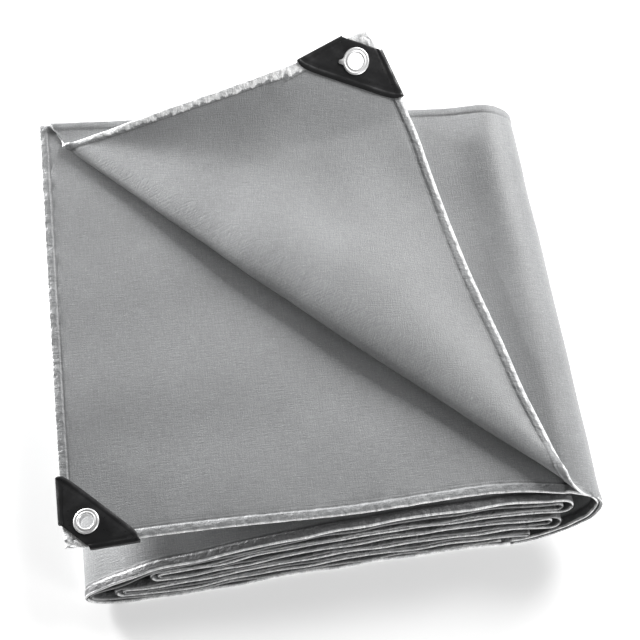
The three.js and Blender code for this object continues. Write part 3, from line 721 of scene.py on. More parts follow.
def sheet_points(plan):
    """Points of the top sheet where it lies, from places in plan that run on round the bend."""
    along, xs, zs, _, _ = outer_curve()
    flat_x = plan[..., 0] + SIDE_LEAN * plan[..., 1]
    x = np.where(flat_x <= along[0], flat_x, np.interp(flat_x, along, xs))
    z = np.where(flat_x <= along[0], top_z(flat_x) + PLY_PITCH, np.interp(flat_x, along, zs))
    z = z + ridge_height(plan)
    return np.stack([x - SIDE_LEAN * plan[..., 1], plan[..., 1], z], axis=-1)


def flap_z(plan):
    """Height of the flap where it lies open: a small gap over the sheet, and a straight slope up
    to its far hem."""
    start = plan - fold_a
    run = start @ far_hem
    inside = start[..., 0] * far_hem[1] - start[..., 1] * far_hem[0]
    lifted = np.clip(run / LIFT["full_from"], 0, 1)
    return sheet_points(plan)[..., 2] + FLAP_GAP + lifted * eased(LIFT, inside)


def flap_points(base, t, distance):
    """Flap: up round the roll, whose upper half is drawn out to a soft crown, then easing down on
    to the sheet."""
    share, radius = t[:, None], roll_radius(t)[:, None]
    angle = np.minimum(distance / radius, math.pi)
    past = np.maximum(distance - math.pi * radius, 0)
    room = np.clip(flap_length(t)[:, None] - math.pi * radius, 1, None)
    ease = level_ended(past / np.minimum(FLAP_EASE, room))
    widest = CROWN["width"] * np.sin(math.pi * share) ** CROWN["ends"]
    crown = np.minimum(widest, room * CROWN["share"]) * (1 - ease)
    upper = angle > math.pi / 2
    step = past - radius * np.sin(angle) + np.where(upper, crown * (1 - np.sin(angle)), 0)
    plan = base[:, None, :] + fold_in * step[..., None]
    past_middle = np.clip((share - SOFT_TOP["from"]) / SOFT_TOP["over"], 0, 1)
    soft = np.where(upper, SOFT_TOP["left"] - SOFT_TOP["less"] * past_middle, 1)
    rolled = sheet_points(base)[:, None, 2] + radius * (1 - np.cos(angle) * soft)
    held = np.clip((share - HELD_UP["from"]) / HELD_UP["over"], 0, 1)
    held = held * np.clip((1 - share) / HELD_UP["ends_over"], 0, 1)
    z = rolled + (flap_z(plan) + HELD_UP["rise"] * held - rolled) * ease
    return np.concatenate([plan, z[..., None]], axis=-1)


def hem_insides(t, distance):
    """Distance inside the flap's nearer hem, measured in the unrolled cloth, and how much longer
    a cut along each strip is than one square to its hem."""
    x = (t * fold_length)[:, None]
    step = np.where(t <= corner_t, -1.0, 1.0)
    slope = (flap_length(t + step / fold_length) - flap_length(t)) / step
    slant = np.hypot(1, slope)
    inside = (flap_length(t)[:, None] - distance) / slant[:, None]
    rows, lengths = FLAP_HEM["x"], FLAP_HEM["length"]
    k = rows.index(CORNER_X)
    for a, b in ((k - 1, k), (k, k + 1)):
        rate = (lengths[b] - lengths[a]) / (rows[b] - rows[a])
        line = lengths[k] + rate * (x - rows[k])
        close = abs(x - rows[k]) < HEM_BENDS["straight"]
        inside = np.where(close, np.minimum(inside, (line - distance) / np.hypot(1, rate)), inside)
    return inside, slant


def hem_end(t):
    """The flap's hem at a share of the fold."""
    t = np.array([t])
    base = fold_a + (fold_b - fold_a) * t[:, None]
    return flap_points(base, t, flap_length(t)[:, None])[0, 0]


def lower_corner(x, y):
    """Place on the second sheet near its front left corner."""
    z = top_z(x) - float(eased(DROOP, np.array(x + y)))
    return np.array([x - SIDE_LEAN * y, y, z])


corner_step = HEM_STEP / fold_length
upper_hems = hem_end(corner_t - corner_step), hem_end(corner_t + corner_step)
lower_hems = lower_corner(LOWER_STEP, LOWER_FRONT), lower_corner(0, LOWER_STEP)
UPPER = frame_of(hem_end(corner_t), *upper_hems, UPPER_SCALE)
LOWER = frame_of(lower_corner(0, 0), *lower_hems, 1.0)


def settled(points, inside, along, plan, frame, rise, seed):
    """The cloth's small unevenness: crinkled hems, soft swells of the plain cloth, and the crumpled
    tip beyond the corner's patch, which itself holds the cloth flat."""
    normals = normals_of(points)
    over_floor = np.clip((points[..., 2] - FLOOR_CALM["height"]) / FLOOR_CALM["over"], 0, 1)
    swell = SWELL["rise"] * ripple(plan[..., 0], plan[..., 1], SWELL["length"], seed + 2)
    uneven = rise * crinkle(along, inside, HEM_CRINKLE, seed) + swell
    shift = calm(points, frame) * over_floor * uneven
    return crumple_tip(points + normals * shift[..., None], frame, seed + 3)


def base_line():
    """Base points of the top sheet's strips: down its free left end, along the fold, and on along
    the front hem round the bend. Returns them with their share of the fold, the number of the
    fold's first strip and that of the first one past it."""
    along, _, _, front, _ = outer_curve()
    start = np.linspace(0, 1, STRIPS["left"] + 1)[:-1, None]
    left = np.array(TOP_LEFT_EDGE) * (1 - start) + fold_a * start
    t_fold = np.linspace(0, 1, STRIPS["fold"])
    t_fold[np.argmin(abs(t_fold - corner_t))] = corner_t
    fold = fold_a + (fold_b - fold_a) * t_fold[:, None]
    flat_x = np.linspace(crown_x, along[-1], STRIPS["bend"] + 1)[1:]
    y = np.interp(flat_x, along, front)
    hem = np.stack([flat_x - SIDE_LEAN * y, y], axis=1)
    base = np.concatenate([left, fold, hem])
    t = np.concatenate([np.zeros(len(left)), t_fold, np.ones(len(hem))])
    return base, t, len(left), len(left) + len(t_fold)


def strip_reach(base):
    """Distance from each base point, square to the fold, to the back hem or the bend's foot, and
    whether it is the hem. The hem's place is found in rounds, each from the one before."""
    along, _, _, _, back = outer_curve()
    rate = fold_in[0] + SIDE_LEAN * fold_in[1]
    flat_x = base[:, 0] + SIDE_LEAN * base[:, 1]
    to_foot = (along[-1] - flat_x) / rate
    reach = to_foot.copy()
    for _ in range(REACH_ROUNDS):
        at = flat_x + rate * reach
        edge = np.where(at <= along[0], back_edge(at), np.interp(at, along, back))
        reach = np.minimum((edge - base[:, 1]) / fold_in[1], to_foot)
    return np.maximum(reach, 0), reach < to_foot


def flap_rows(t):
    """Distances from the fold at which the strips of the flap have points, hem first."""
    length = flap_length(t)
    _, slant = hem_insides(t, length[:, None])
    hem = np.array(HEM_PROFILE["in"])[None]
    shrink = np.minimum(1, SHORT_HEM * length / (BODY_INSET * slant + 1e-9))
    hem_rows = length[:, None] - hem * (slant * shrink)[:, None]
    inner = hem_rows[:, -1]
    roll_end = np.minimum(math.pi * roll_radius(t) * ROLL_ROWS["past"], inner * ROLL_ROWS["most"])
    roll_rows = roll_end[:, None] * np.linspace(0, 1, STRIP_ROWS["roll"])[None]
    even = np.linspace(0, 1, STRIP_ROWS["flat"])[None, 1:-1]
    flat_rows = roll_end[:, None] + (inner - roll_end)[:, None] * even
    return np.concatenate([hem_rows, flat_rows[:, ::-1], roll_rows[:, ::-1]], axis=1)


def lying_rows(reach):
    """Distances from the fold at which the strips have points on the sheet that lies flat."""
    hem = np.array(HEM_PROFILE["in"])[None] / fold_in[1]
    short = reach[:, None] * SHORT_HEM * hem / hem[0, -1]
    ends = np.minimum(hem, short)
    even = np.linspace(0, 1, STRIP_ROWS["lying"])[None, 1:-1]
    low, high = ends[:, -1:], reach[:, None] - ends[:, -1:]
    middle = low + (high - low) * even
    return np.concatenate([ends[:, 1:], middle, reach[:, None] - ends[:, ::-1]], axis=1)


def strip_places(base, distance, plan):
    """Places of the strips' points in the unrolled cloth, the flap's turned a little."""
    unrolled = base[:, None, :] - fold_in * distance[..., None]
    cos, sin = math.cos(math.radians(FLAP_TAPES_TURN)), math.sin(math.radians(FLAP_TAPES_TURN))
    return np.concatenate([unrolled @ np.array([[cos, -sin], [sin, cos]]), plan], axis=1)


def strip_wear_and_highlight(t, distance, at_front):
    """How pale the strips' hems are, by wear and painted highlight: the flap's far and right ones, less
    so where it is short, and the front one round the bend."""
    flap = np.where(t <= corner_t, HEM_WEAR_AND_HIGHLIGHT["far"], HEM_WEAR_AND_HIGHLIGHT["right"])[:, None] + 0 * distance
    longer = np.clip(flap_length(t)[:, None] - WEAR_AND_HIGHLIGHT_EASE["short"], 0, None)
    flap = np.minimum(flap, 1 + longer / WEAR_AND_HIGHLIGHT_EASE["over"])
    return np.concatenate([flap, np.where(at_front, HEM_WEAR_AND_HIGHLIGHT["bend"], 0.0)], axis=1)


def merged(points):
    """Points that fall together get one number: each point's number, and each number's point."""
    places = np.round(points, SAME_PLACE_DIGITS).reshape(-1, 3)
    _, chosen, number = np.unique(places, axis=0, return_index=True, return_inverse=True)
    return number.reshape(-1), chosen


def build_top_sheet():
    """The top sheet with its rolled corner, as strips square to the fold: from the flap's hem
    round the roll and over the sheet to the back hem. The strips beside the free left end and
    round the bend have no flap, and their flap points fall together on the sheet."""
    base, t, first, last = base_line()
    distance = flap_rows(t)
    reach, to_hem = strip_reach(base)
    out = lying_rows(reach)
    plan = base[:, None, :] + fold_in * out[..., None]
    flap = flap_points(base, t, distance)
    bare = flap_length(t) < NO_FLAP
    flap[bare] = sheet_points(base)[bare][:, None]
    points = np.concatenate([flap, sheet_points(plan)], axis=1)
    number, chosen = merged(points)

    # Distance inside the nearest hem. The free left end is a hem of its own
    strip = np.arange(len(base))
    left_end, round_bend = (strip <= first)[:, None], strip >= last
    to_back = np.where(to_hem[:, None], (reach[:, None] - out) * fold_in[1], FAR)
    to_front = np.where(round_bend[:, None], out * fold_in[1], FAR)
    on_end = left_end & (out < AT_END)
    lying_inside = np.where(on_end, 0.0, np.minimum(to_back, to_front))
    flap_inside = np.where(bare[:, None], FAR, hem_insides(t, distance)[0])
    inside = np.concatenate([flap_inside, lying_inside], axis=1)

    places = strip_places(base, distance, plan)
    flap_along = strip[:, None] * STRIP_WAVE + 0 * distance
    along = np.concatenate([flap_along, plan[..., 0]], axis=1)
    near = np.minimum(inside, HEM_CRINKLE["most_inside"])
    points = settled(points, near, along, places, UPPER, CRINKLE_RISE["top"], SEEDS["top"])

    # Where there is no flap its points take the sheet's normal, and at the fold's start the way
    # square to it
    count = flap.shape[1]
    normals = normals_of(points)
    normals[bare, :count] = normals[bare, count][:, None]
    normals[first, :count] = np.array([*fold_in, 0])
    halves = hem_half(inside)
    halves[round_bend, :count] = HEM_PROFILE["half"][0]
    halves[first, :count] = CLOTH_HALF

    # Pale hems, wear and painted highlight: the flap's and the front one round the bend, broadest on the
    # crumpled tip
    wear_and_highlight = strip_wear_and_highlight(t, distance, to_front < to_back)
    wear_and_highlight = np.where(at_tip(points, UPPER), HEM_WEAR_AND_HIGHLIGHT["tip"], wear_and_highlight)
    values = {key: value[chosen] for key, value in cloth_values(inside, wear_and_highlight).items()}
    quads = without_slivers(number[grid_cells(*points.shape[:2])])
    flat = points.reshape(-1, 3)[chosen]
    return shell(
        "tarp_top_sheet", flat, normals.reshape(-1, 3)[chosen], halves.reshape(-1)[chosen],
        clear_of_eyelet(flat, quads, UPPER), places.reshape(-1, 2)[chosen], values,
    )


def cloth_values(inside, wear_and_highlight, stacked=0.0, not_pale=NOT_PALE["wear_and_highlight"]):
    """What the cloth's material reads at each point: the distance inside the hem, how pale the hem's
    edge is there, by wear and painted highlight, and whether the ply is one of the stack. A hem that
    isn't pale is told as plain cloth."""
    plain = (wear_and_highlight < not_pale) & (inside < NOT_PALE["inside"])
    told = {
        "hem_inside": np.where(plain, PLAIN_INSIDE, np.clip(inside, 0, MOST_INSIDE)),
        "hem_wear_and_highlight": wear_and_highlight,
        "in_stack": stacked,
    }
    return {key: np.broadcast_to(value, inside.shape).reshape(-1) for key, value in told.items()}


def without_slivers(quads):
    """Quads whose corners fell together become triangles, marked by -1, or go."""
    double = quads == np.roll(quads, -1, axis=1)
    whole = quads[double.sum(axis=1) == 0]
    part = quads[double.sum(axis=1) == 1]
    threes = part[~(part == np.roll(part, -1, axis=1))].reshape(-1, 3)
    threes = np.concatenate([threes, np.full((len(threes), 1), -1)], axis=1)
    return np.concatenate([whole, threes])


def build_second_sheet():
    """The second sheet, from its hem at the left over the pack and round the inner bend."""
    x_wrap, z_wrap, front_wrap, back_wrap = wrap_curve(PLY_PITCH)
    stops = np.arange(SECOND_SHEET["from"], x_wrap[0] - SECOND_SHEET["clear"], SECOND_SHEET["step"])
    x_flat = np.concatenate([HEM_PROFILE["in"], stops])
    x = np.concatenate([x_flat, x_wrap])
    z = np.concatenate([top_z(x_flat), z_wrap])
    front = np.concatenate([smooth(x_flat, TOP_FRONT["x"], TOP_FRONT["y"]), front_wrap])
    back = np.concatenate([back_edge(x_flat), back_wrap])
    flat = np.arange(len(x)) < len(x_flat)
    points, inside, y = section_grid(x, z, front, back, SECOND_SHEET["across"], droop=flat)
    from_left = np.where(flat, x, FAR)[:, None]
    left_hem = from_left < BODY_INSET
    inside = np.minimum(inside, from_left)
    u = np.broadcast_to(arc_length(x, z)[:, None], y.shape)
    plan = np.stack([u, y], axis=-1)
    along = np.where(left_hem, y, u)
    points = settled(points, inside, along, plan, LOWER, CRINKLE_RISE["second"], SEEDS["second"])
    in_front = y <= np.mean(y, axis=1, keepdims=True)
    # Pale hems, wear and painted highlight: the left and front ones, broadest on the crumpled tip
    wear_and_highlight = np.where(left_hem, HEM_WEAR_AND_HIGHLIGHT["left"], np.where(in_front, HEM_WEAR_AND_HIGHLIGHT["front"], 0.0))
    wear_and_highlight = np.where(at_tip(points, LOWER), HEM_WEAR_AND_HIGHLIGHT["tip"], wear_and_highlight)
    # The part round the bend is told 2, so that its under side gets painted shade
    values = cloth_values(inside, wear_and_highlight, np.where(flat, 0.0, 2.0)[:, None])
    return grid_shell("tarp_second_sheet", points, values, hem_half(inside), u, y, LOWER)


def build_inner_folds():
    """The stack's plies as one strip of cloth. The ply on the floor isn't crinkled."""
    x, z, front, back, floor, wear_and_highlight = stack_stations()
    floor = floor > 0.5
    points, inside, y = section_grid(x, z, front, back, STACK_ACROSS_STEP, floor=floor)
    u = np.broadcast_to(arc_length(x, z)[:, None], y.shape)
    waves = STACK_CRINKLE["rise"] * crinkle(u, inside, STACK_CRINKLE, SEEDS["stack"])
    points = points + normals_of(points) * np.where(floor[:, None], 0, waves)[..., None]
    sway = STACK_SWAY["out"] * ripple(u, 0 * u, STACK_SWAY["length"], SEEDS["stack"] + 2)
    sway = sway * np.exp(-((inside / STACK_CRINKLE["fade"]) ** 2))
    points[..., 1] += np.where(y < STACK_SWAY["to_y"], sway, 0)
    values = cloth_values(inside, wear_and_highlight[:, None] + 0 * y, 1.0, not_pale=0.0)
    return grid_shell("tarp_inner_folds", points, values, hem_half(inside), u, y)


def grid_shell(name, points, values, halves, u, v, frame=None):
    """Closed sheet from a whole grid of points."""
    uv = np.stack([u, v], axis=-1).reshape(-1, 2)
    normals = normals_of(points).reshape(-1, 3)
    quads = grid_cells(*points.shape[:2])
    points = points.reshape(-1, 3)
    if frame is not None:
        quads = clear_of_eyelet(points, quads, frame)
    return shell(name, points, normals, halves.reshape(-1), quads, uv, values)


def sleeve_loop(thick):
    """Flattened loop round a sleeve: over the top from one hem to the other, round its rounded
    edge and back below. Returns the share of the way across, how far it stands out past each hem,
    and the height."""
    flat = np.linspace(0, 1, PATCH_ROWS["across"])
    bend = np.linspace(0, math.pi, PATCH_ROWS["bend"] + 2)[1:-1]
    share = np.concatenate([flat, np.ones(len(bend)), flat[::-1], np.zeros(len(bend))])
    out = np.concatenate([0 * flat, np.sin(bend), 0 * flat, np.sin(bend)])
    height = thick * np.concatenate([1 + 0 * flat, np.cos(bend), 0 * flat - 1, -np.cos(bend)])
    return share[None], out[None], height[None]


def sleeve_plan(share, out, v):
    """Plan of the patch in its corner's frame: from hem to hem by the share, and from the clipped
    side to the long one by v. The long side bulges and its ends are blunt."""
    reach = PATCH["clip"] + (PATCH["leg"] - PATCH["clip"]) * v
    centre = PATCH["bend"] + PATCH["ply"] / 2 - PATCH["margin"]
    ends = (2 * share - 1) ** 8
    bulge = PATCH["bulge"] * v ** 3 * (1 - ends) * PATCH["bulge_way"]
    blunt = PATCH["blunt"] * v ** 10 * ends
    first_half = share < 0.5
    x = reach * (1 - share) + centre * share + bulge
    y = centre * (1 - share) + reach * share + bulge
    x = x - np.where(first_half, blunt, out * PATCH["bend"])
    y = y - np.where(first_half, out * PATCH["bend"], blunt)
    return x, y


def pressed(distance, marks):
    """Bell shaped ribs and grooves at their distances."""
    return sum(rise * np.exp(-(((distance - at) / half) ** 2)) for at, half, rise in marks)


def build_sleeve(name, frame, seed):
    """Moulded corner patch: a flat tube round the corner, open at the clipped tip and at its long
    side, with welded edges, a rim along the long side and a soft wave."""
    thick = PATCH["seat"] + PATCH["ply"] / 2
    share, out, height = sleeve_loop(thick)
    span = (PATCH["leg"] - PATCH["clip"]) / math.sqrt(2)
    edge, clear = np.array(PATCH_ROWS["edge"]), PATCH_ROWS["clear"]
    middle = np.linspace(clear, span - clear, PATCH_ROWS["middle"])
    v = np.concatenate([edge, middle, span - edge[::-1]])[:, None] / span
    x, y = sleeve_plan(share, out, v)
    width = (PATCH["clip"] + (PATCH["leg"] - PATCH["clip"]) * v) * math.sqrt(2)
    from_side = np.minimum(share, 1 - share) * width
    from_long = (1 - v) * span
    lip = np.clip((from_side - LIP["beside"]) / LIP["over"], 0, 1)
    lip = lip * np.clip(1 - from_long / LIP["long"], 0, 1) * (thick - LIP["to"])
    on_faces = abs(height) > thick * FLAT_SHARE
    marks = (pressed(from_long, LONG_RIM) + pressed(from_side, WELDS)) * on_faces
    wave = PATCH_WAVE["rise"] * ripple(x, y, PATCH_WAVE["length"], seed)
    wave = wave * np.clip(from_side / PATCH_WAVE["from_side"], 0, 1)
    z = height + np.sign(height) * (marks - lip) + wave
    points = out_of_frame(np.stack([x, y, z], axis=-1), frame)
    half = np.interp(np.minimum(v, 1 - v) * span, PATCH_EDGE["in"], PATCH_EDGE["half"])
    halves = np.broadcast_to(half, x.shape).reshape(-1)
    normals = normals_of(points, closed=True).reshape(-1, 3)
    flat = points.reshape(-1, 3)
    quads = clear_of_eyelet(flat, grid_cells(*x.shape, closed=True), frame)
    return shell(name, flat, normals, halves, quads)


def turned_ring(name, profile, frame, burr=0.0):
    """Ring turned about the eyelet's axis from a closed profile of radius and height. A burr
    stands out of its edge on the side that faces left."""
    radius, height = np.array(profile, float).T
    angle = np.linspace(0, 2 * math.pi, RING_SIDES, endpoint=False)
    left = np.linalg.inv(frame[1]).T @ np.array([-1.0, 0.0, 0.0])
    off = (angle - math.atan2(left[1], left[0]) + math.pi) % (2 * math.pi) - math.pi
    tag = burr * np.exp(-((off / BURR["half_angle"]) ** 4))
    out = radius[:, None] + tag * (radius[:, None] > BURR["from_radius"])
    x, y = (EYELET["inset"] + out * way for way in (np.cos(angle), np.sin(angle)))
    z = np.broadcast_to(height[:, None], x.shape)
    points = out_of_frame(np.stack([x, y, z], axis=-1), frame)
    quads = grid_cells(*x.shape, closed=True, rolled=True)
    vertices = (points.reshape(-1, 3) + np.array(SHEET_CORNER)) * MM
    return mesh_object(name, vertices, facing_out(vertices, quads))


def build_eyelet(name, frame, burr):
    """Pressed eyelet: its barrel goes down through patch and cloth."""
    top = PATCH_TOP + EYELET["clear"]
    foot = -top - EYELET["barrel"]
    rim = [(radius, top + z) for radius, z in EYELET_RIM]
    inner, outer, below = [(radius, foot + z) for radius, z in EYELET_FOOT]
    return turned_ring(name, [inner, *rim, outer, below], frame, burr)


def build_washer(name, frame):
    """Plain dished ring that the barrel is set into, behind the patch."""
    top = -PATCH_TOP - EYELET["clear"]
    return turned_ring(name, [(radius, top - z) for radius, z in WASHER_RIM], frame)


def linear(hex_colour):
    """sRGB hex to linear RGBA."""
    parts = [int(hex_colour[i:i + 2], 16) / 255 for i in (1, 3, 5)]
    values = [p / 12.92 if p <= 0.04045 else ((p + 0.055) / 1.055) ** 2.4 for p in parts]
    return (*values, 1.0)


def add_node(tree, kind, settings=None, **links):
    """A node of a kind with its settings, and its inputs linked to sockets or set to values. An
    input is given by its name, or by i and its number."""
    node = tree.nodes.new(kind)
    for key, value in (settings or {}).items():
        setattr(node, key, value)
    for key, value in links.items():
        socket = node.inputs[int(key[1:])] if key[0] == "i" and key[1:].isdigit() else node.inputs[key]
        if isinstance(value, bpy.types.NodeSocket):
            tree.links.new(value, socket)
        else:
            socket.default_value = value
    return node


def new_material(name):
    """An empty material with its shader joined to its output."""
    made = bpy.data.materials.new(name)
    made.use_nodes = True
    tree = made.node_tree
    tree.nodes.clear()
    shader = tree.nodes.new("ShaderNodeBsdfPrincipled")
    output = tree.nodes.new("ShaderNodeOutputMaterial")
    tree.links.new(shader.outputs[0], output.inputs[0])
    return made, tree, shader


def math_node(tree, operation, a, b):
    """One sum of two sockets or numbers."""
    return add_node(tree, "ShaderNodeMath", {"operation": operation}, i0=a, i1=b).outputs[0]


def map_range(tree, value, low, high, to_low=0.0, to_high=1.0):
    """A value taken from one range to another, held at its ends."""
    ends = {"i1": low, "i2": high, "i3": to_low, "i4": to_high}
    return add_node(tree, "ShaderNodeMapRange", {}, i0=value, **ends).outputs[0]


def tapes(tree, place, across, along):
    """Fine irregular lines of tapes that run one way: noise drawn out along them."""
    mapped = add_node(tree, "ShaderNodeMapping", {}, Vector=place, Scale=(1 / across, 1 / along, 1))
    flat = {"noise_dimensions": "2D"}
    look = {"Scale": 1.0, "Detail": 3.0, "Roughness": 0.6}
    return add_node(tree, "ShaderNodeTexNoise", flat, Vector=mapped.outputs[0], **look).outputs[0]


def cloth_noise(tree, place, scale, detail=2.0):
    """Even noise over the cloth, by its waves to the millimetre."""
    flat = {"noise_dimensions": "2D"}
    return add_node(tree, "ShaderNodeTexNoise", flat, Vector=place, Scale=scale, Detail=detail).outputs[0]


def solid_noise(tree, scale, detail):
    """Even noise through a solid piece, by its waves to the metre."""
    place = add_node(tree, "ShaderNodeTexCoord").outputs["Object"]
    return add_node(tree, "ShaderNodeTexNoise", {}, Vector=place, Scale=scale, Detail=detail).outputs[0]


def add_relief(tree, shader, height, strength, depth):
    """Fine relief of the surface, as a bump up to a depth in metres."""
    bump = add_node(tree, "ShaderNodeBump", {}, Strength=strength, Distance=depth, Height=height)
    tree.links.new(bump.outputs[0], shader.inputs["Normal"])


def mixed(tree, share, a, b):
    """Colour between two, by a share; each is a socket or a colour."""
    return add_node(tree, "ShaderNodeMix", {"data_type": "RGBA"}, i0=share, i6=a, i7=b).outputs[2]


def weave_tone(tree, place):
    """Fine crossed lines of warp and weft with a grain, and how bright the coat is: those lines,
    short pale dashes where tapes cross, and slow clouds."""
    warp = tapes(tree, place, TAPE["wide"], TAPE["run"])
    weft = tapes(tree, place, TAPE["run"], TAPE["wide"])
    crossed = math_node(tree, "ADD", warp, weft)
    fine = math_node(tree, "ADD", crossed, cloth_noise(tree, place, NOISE["grain"]))
    dashes = tapes(tree, place, TAPE["dash_wide"], TAPE["dash_run"])
    dashes = map_range(tree, dashes, 0.62, 0.72, 0.0, 0.4)
    tone = math_node(tree, "ADD", map_range(tree, fine, 1.1, 1.9, 0.84, 1.16), dashes)
    clouds = map_range(tree, cloth_noise(tree, place, NOISE["cloud"]), 0.3, 0.7, 0.95, 1.05)
    return fine, math_node(tree, "MULTIPLY", tone, clouds)


def coat_with_painted_shade(tree, inside, turned, stacked, in_bend):
    """Colour of the coat before its pale edges: plain, with painted shade darker in the weld's groove
    and on the faces of stacked hems, and darkest where an edge in the stack or the bend's inner
    side is turned away."""
    # Painted shade: a dark line in the weld's groove and darker faces of stacked hems
    off_groove = math_node(tree, "ABSOLUTE", math_node(tree, "SUBTRACT", inside, GROOVE_AT), 0.0)
    groove = map_range(tree, off_groove, 0.0, 1.0, 0.45, 0.0)
    body = mixed(tree, groove, linear(COAT_AND_PAINTED_LIGHT["plain"]), linear(COAT_AND_PAINTED_LIGHT["groove"]))
    hem = math_node(tree, "MULTIPLY", map_range(tree, inside, 8.0, 10.0, 0.75, 0.0), stacked)
    body = mixed(tree, hem, body, linear(COAT_AND_PAINTED_LIGHT["stacked"]))
    edge = map_range(tree, inside, 0.3, 2.0, 1.0, 0.0)
    stack_edge = math_node(tree, "MULTIPLY", math_node(tree, "MULTIPLY", turned, stacked), edge)
    bend_side = math_node(tree, "MULTIPLY", turned, in_bend)
    # Darkest painted shade where a stacked edge or the bend's inner side faces down
    return mixed(tree, math_node(tree, "MAXIMUM", bend_side, stack_edge), body, linear(COAT_AND_PAINTED_LIGHT["hollow"]))


def worn_and_highlit_share(tree, inside, wear_and_highlight, crease, turned, stacked):
    """How far a hem's edge is pale, as painted highlight together with worn coat: a thin line, or a
    band as broad as its wear and highlight make it, broken by the creases, and none where a stacked
    hem is turned away."""
    broken = map_range(tree, crease, 0.3, 0.7, 0.7, 1.15)
    band = math_node(tree, "MULTIPLY", map_range(tree, wear_and_highlight, 1.0, 3.0, 0.0, 15.0), broken)
    line = map_range(tree, stacked, 0.0, 1.0, 1.1, 1.9)
    reach = math_node(tree, "SUBTRACT", math_node(tree, "ADD", band, line), inside)
    within, strength = map_range(tree, reach, 0.0, 1.0), map_range(tree, wear_and_highlight, 0.0, 1.0)
    pale = math_node(tree, "MULTIPLY", within, strength)
    hidden = math_node(tree, "MULTIPLY", math_node(tree, "MULTIPLY", turned, stacked), 1.3)
    return map_range(tree, math_node(tree, "SUBTRACT", pale, hidden), 0.0, 1.0, 0.0, 0.95)


def coated_tape_weave():
    """Tape weave with a silver pigmented coat: satin, fine crossed lines where the tapes show
    through, painted shade in the welded groove beside the hem, on stacked hems and on faces turned
    away, and pale edges where the coat is creased, worn coat with painted highlight."""
    made, tree, shader = new_material("coated_tape_weave")
    place = add_node(tree, "ShaderNodeUVMap", {"uv_map": "cloth_mm"}).outputs[0]
    inside, wear_and_highlight, under, in_stack = (
        add_node(tree, "ShaderNodeAttribute", {"attribute_name": key}).outputs["Fac"]
        for key in ("hem_inside", "hem_wear_and_highlight", "hem_under", "in_stack")
    )
    turned = map_range(tree, under, 0.3, 0.65)
    stacked, in_bend = map_range(tree, in_stack, 0.0, 1.0), map_range(tree, in_stack, 1.0, 2.0)
    crease = cloth_noise(tree, place, NOISE["crease"], 3.0)
    fine, tone = weave_tone(tree, place)
    body = coat_with_painted_shade(tree, inside, turned, stacked, in_bend)
    # Pale edges, worn coat with painted highlight, whitest where the crease noise is high
    worn_and_highlit = map_range(tree, crease, 0.35, 0.6)
    worn_and_highlit = mixed(tree, worn_and_highlit, linear(COAT_AND_PAINTED_LIGHT["worn_and_highlit"]), linear(COAT_AND_PAINTED_LIGHT["gone_and_highlit"]))
    colour = mixed(tree, worn_and_highlit_share(tree, inside, wear_and_highlight, crease, turned, stacked), body, worn_and_highlit)
    grey = add_node(tree, "ShaderNodeCombineColor", {}, i0=tone, i1=tone, i2=tone).outputs[0]
    settings = {"data_type": "RGBA", "blend_type": "MULTIPLY"}
    toned = add_node(tree, "ShaderNodeMix", settings, i0=1.0, i6=colour, i7=grey).outputs[2]
    tree.links.new(toned, shader.inputs["Base Color"])
    # Relief: creases in the hems, and the weave everywhere
    creases = math_node(tree, "MULTIPLY", crease, map_range(tree, inside, 6.0, 10.0, 2.6, 0.0))
    height = math_node(tree, "ADD", creases, math_node(tree, "MULTIPLY", fine, 0.3))
    add_relief(tree, shader, height, 0.6, 0.8 * MM)
    shader.inputs["Roughness"].default_value = 0.48
    return made


def moulded_black_plastic():
    """Injection moulded black plastic: glossy, with the faint waviness of a thin moulding and
    scuffs that dull it unevenly."""
    made, tree, shader = new_material("moulded_black_plastic")
    add_relief(tree, shader, solid_noise(tree, 48.0, 1.0), 1.0, 2.0 * MM)
    rough = map_range(tree, solid_noise(tree, 400.0, 4.0), 0.3, 0.7, 0.27, 0.37)
    tree.links.new(rough, shader.inputs["Roughness"])
    shader.inputs["Base Color"].default_value = linear("#202021")
    return made


def pressed_aluminium():
    """Bright pressed aluminium: its clear oxide film scatters part of the light, so it looks nearly
    white and satin, with fine marks of the press tool."""
    made, tree, shader = new_material("pressed_aluminium")
    add_relief(tree, shader, solid_noise(tree, 1500.0, 2.0), 0.15, 0.1 * MM)
    shader.inputs["Base Color"].default_value = linear("#F6F6F6")
    shader.inputs["Roughness"].default_value = 0.42
    shader.inputs["Metallic"].default_value = 0.7
    return made


def add_floor():
    """Plain pale floor, which glows a little so that it looks nearly white."""
    half = FLOOR["half"]
    mesh = bpy.data.meshes.new("floor")
    corners = [(-half, -half, 0), (half, -half, 0), (half, half, 0), (-half, half, 0)]
    mesh.from_pydata(corners, [], [(0, 1, 2, 3)])
    floor = bpy.data.objects.new("floor", mesh)
    bpy.context.scene.collection.objects.link(floor)
    made, _, shader = new_material("pale_floor")
    shader.inputs["Base Color"].default_value = linear(FLOOR["colour"])
    shader.inputs["Roughness"].default_value = FLOOR["roughness"]
    shader.inputs["Emission Color"].default_value = (1, 1, 1, 1)
    shader.inputs["Emission Strength"].default_value = FLOOR["glow"]
    mesh.materials.append(made)


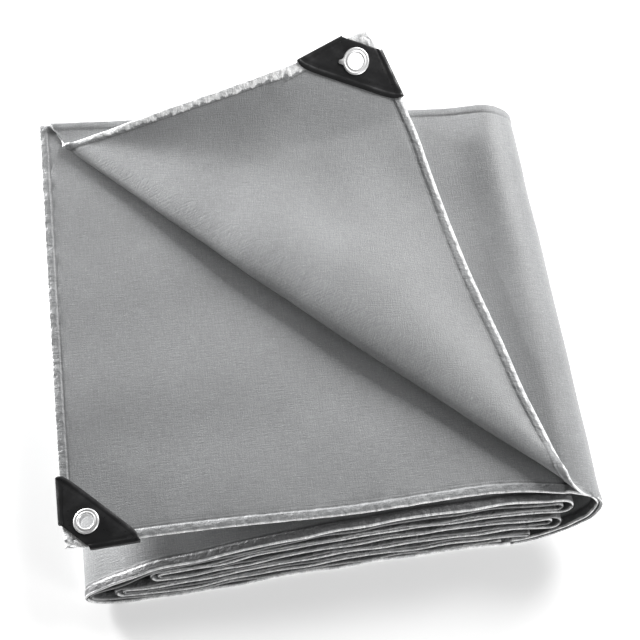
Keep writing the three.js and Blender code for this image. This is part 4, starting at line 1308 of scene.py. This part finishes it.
def add_light(name, place, aim, size, power):
    """Soft box light at a place, turned to face its aim."""
    lamp = bpy.data.lights.new(name, "AREA")
    lamp.energy = power
    lamp.shape = "RECTANGLE"
    lamp.size, lamp.size_y = size
    holder = bpy.data.objects.new(name, lamp)
    bpy.context.scene.collection.objects.link(holder)
    holder.location = place
    way = Vector(aim) - Vector(place)
    holder.rotation_euler = way.to_track_quat("-Z", "Y").to_euler()


def add_camera():
    """The photo's camera: above the front edge, and turned a little to the right."""
    camera = bpy.data.cameras.new("camera")
    camera.lens = CAMERA["lens"]
    camera.sensor_width = CAMERA["sensor"]
    holder = bpy.data.objects.new("camera", camera)
    bpy.context.scene.collection.objects.link(holder)
    holder.location = (np.array(CAMERA["place"]) + np.array(SHEET_CORNER)) * MM
    holder.rotation_euler = (math.radians(CAMERA["tilt"]), 0, math.radians(CAMERA["turn"]))
    bpy.context.scene.camera = holder


def set_world():
    """Even white light from all round."""
    world = bpy.data.worlds.new("studio")
    bpy.context.scene.world = world
    world.use_nodes = True
    background = world.node_tree.nodes["Background"]
    background.inputs[0].default_value = (1, 1, 1, 1)
    background.inputs[1].default_value = WORLD_LIGHT


def put_in(piece, slot, node):
    """Gives a piece its finish, and its place in the frame."""
    piece.data.materials.append(finishes[slot])
    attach(piece, "root")
    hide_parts(node)
    return piece


def corner_pieces(place, frame, burr):
    """A corner's patch, eyelet and washer."""
    patch = build_sleeve(f"moulded_patch_{place}", frame, SEEDS[f"patch_{place}"])
    eyelet = build_eyelet(f"pressed_eyelet_{place}", frame, burr)
    washer = build_washer(f"set_washer_{place}", frame)
    return [
        put_in(patch, "corner_patch", f"corner_patch_{place}"),
        put_in(eyelet, "eyelet", f"eyelet_{place}"),
        put_in(washer, "eyelet", f"washer_{place}"),
    ]


add_camera()
set_world()
add_floor()
for name, settings in LIGHTS.items():
    add_light(name, *settings)
bpy.context.scene.view_settings.view_transform = "Standard"

finishes = {
    "tarp_cloth": coated_tape_weave(),
    "corner_patch": moulded_black_plastic(),
    "eyelet": pressed_aluminium(),
}
inner_folds = put_in(build_inner_folds(), "tarp_cloth", "tarp_cloth")
second_sheet = put_in(build_second_sheet(), "tarp_cloth", "tarp_cloth")
top_sheet = put_in(build_top_sheet(), "tarp_cloth", "tarp_cloth")
lower_pieces = corner_pieces("lower", LOWER, 0.0)
upper_pieces = corner_pieces("upper", UPPER, BURR["out"])
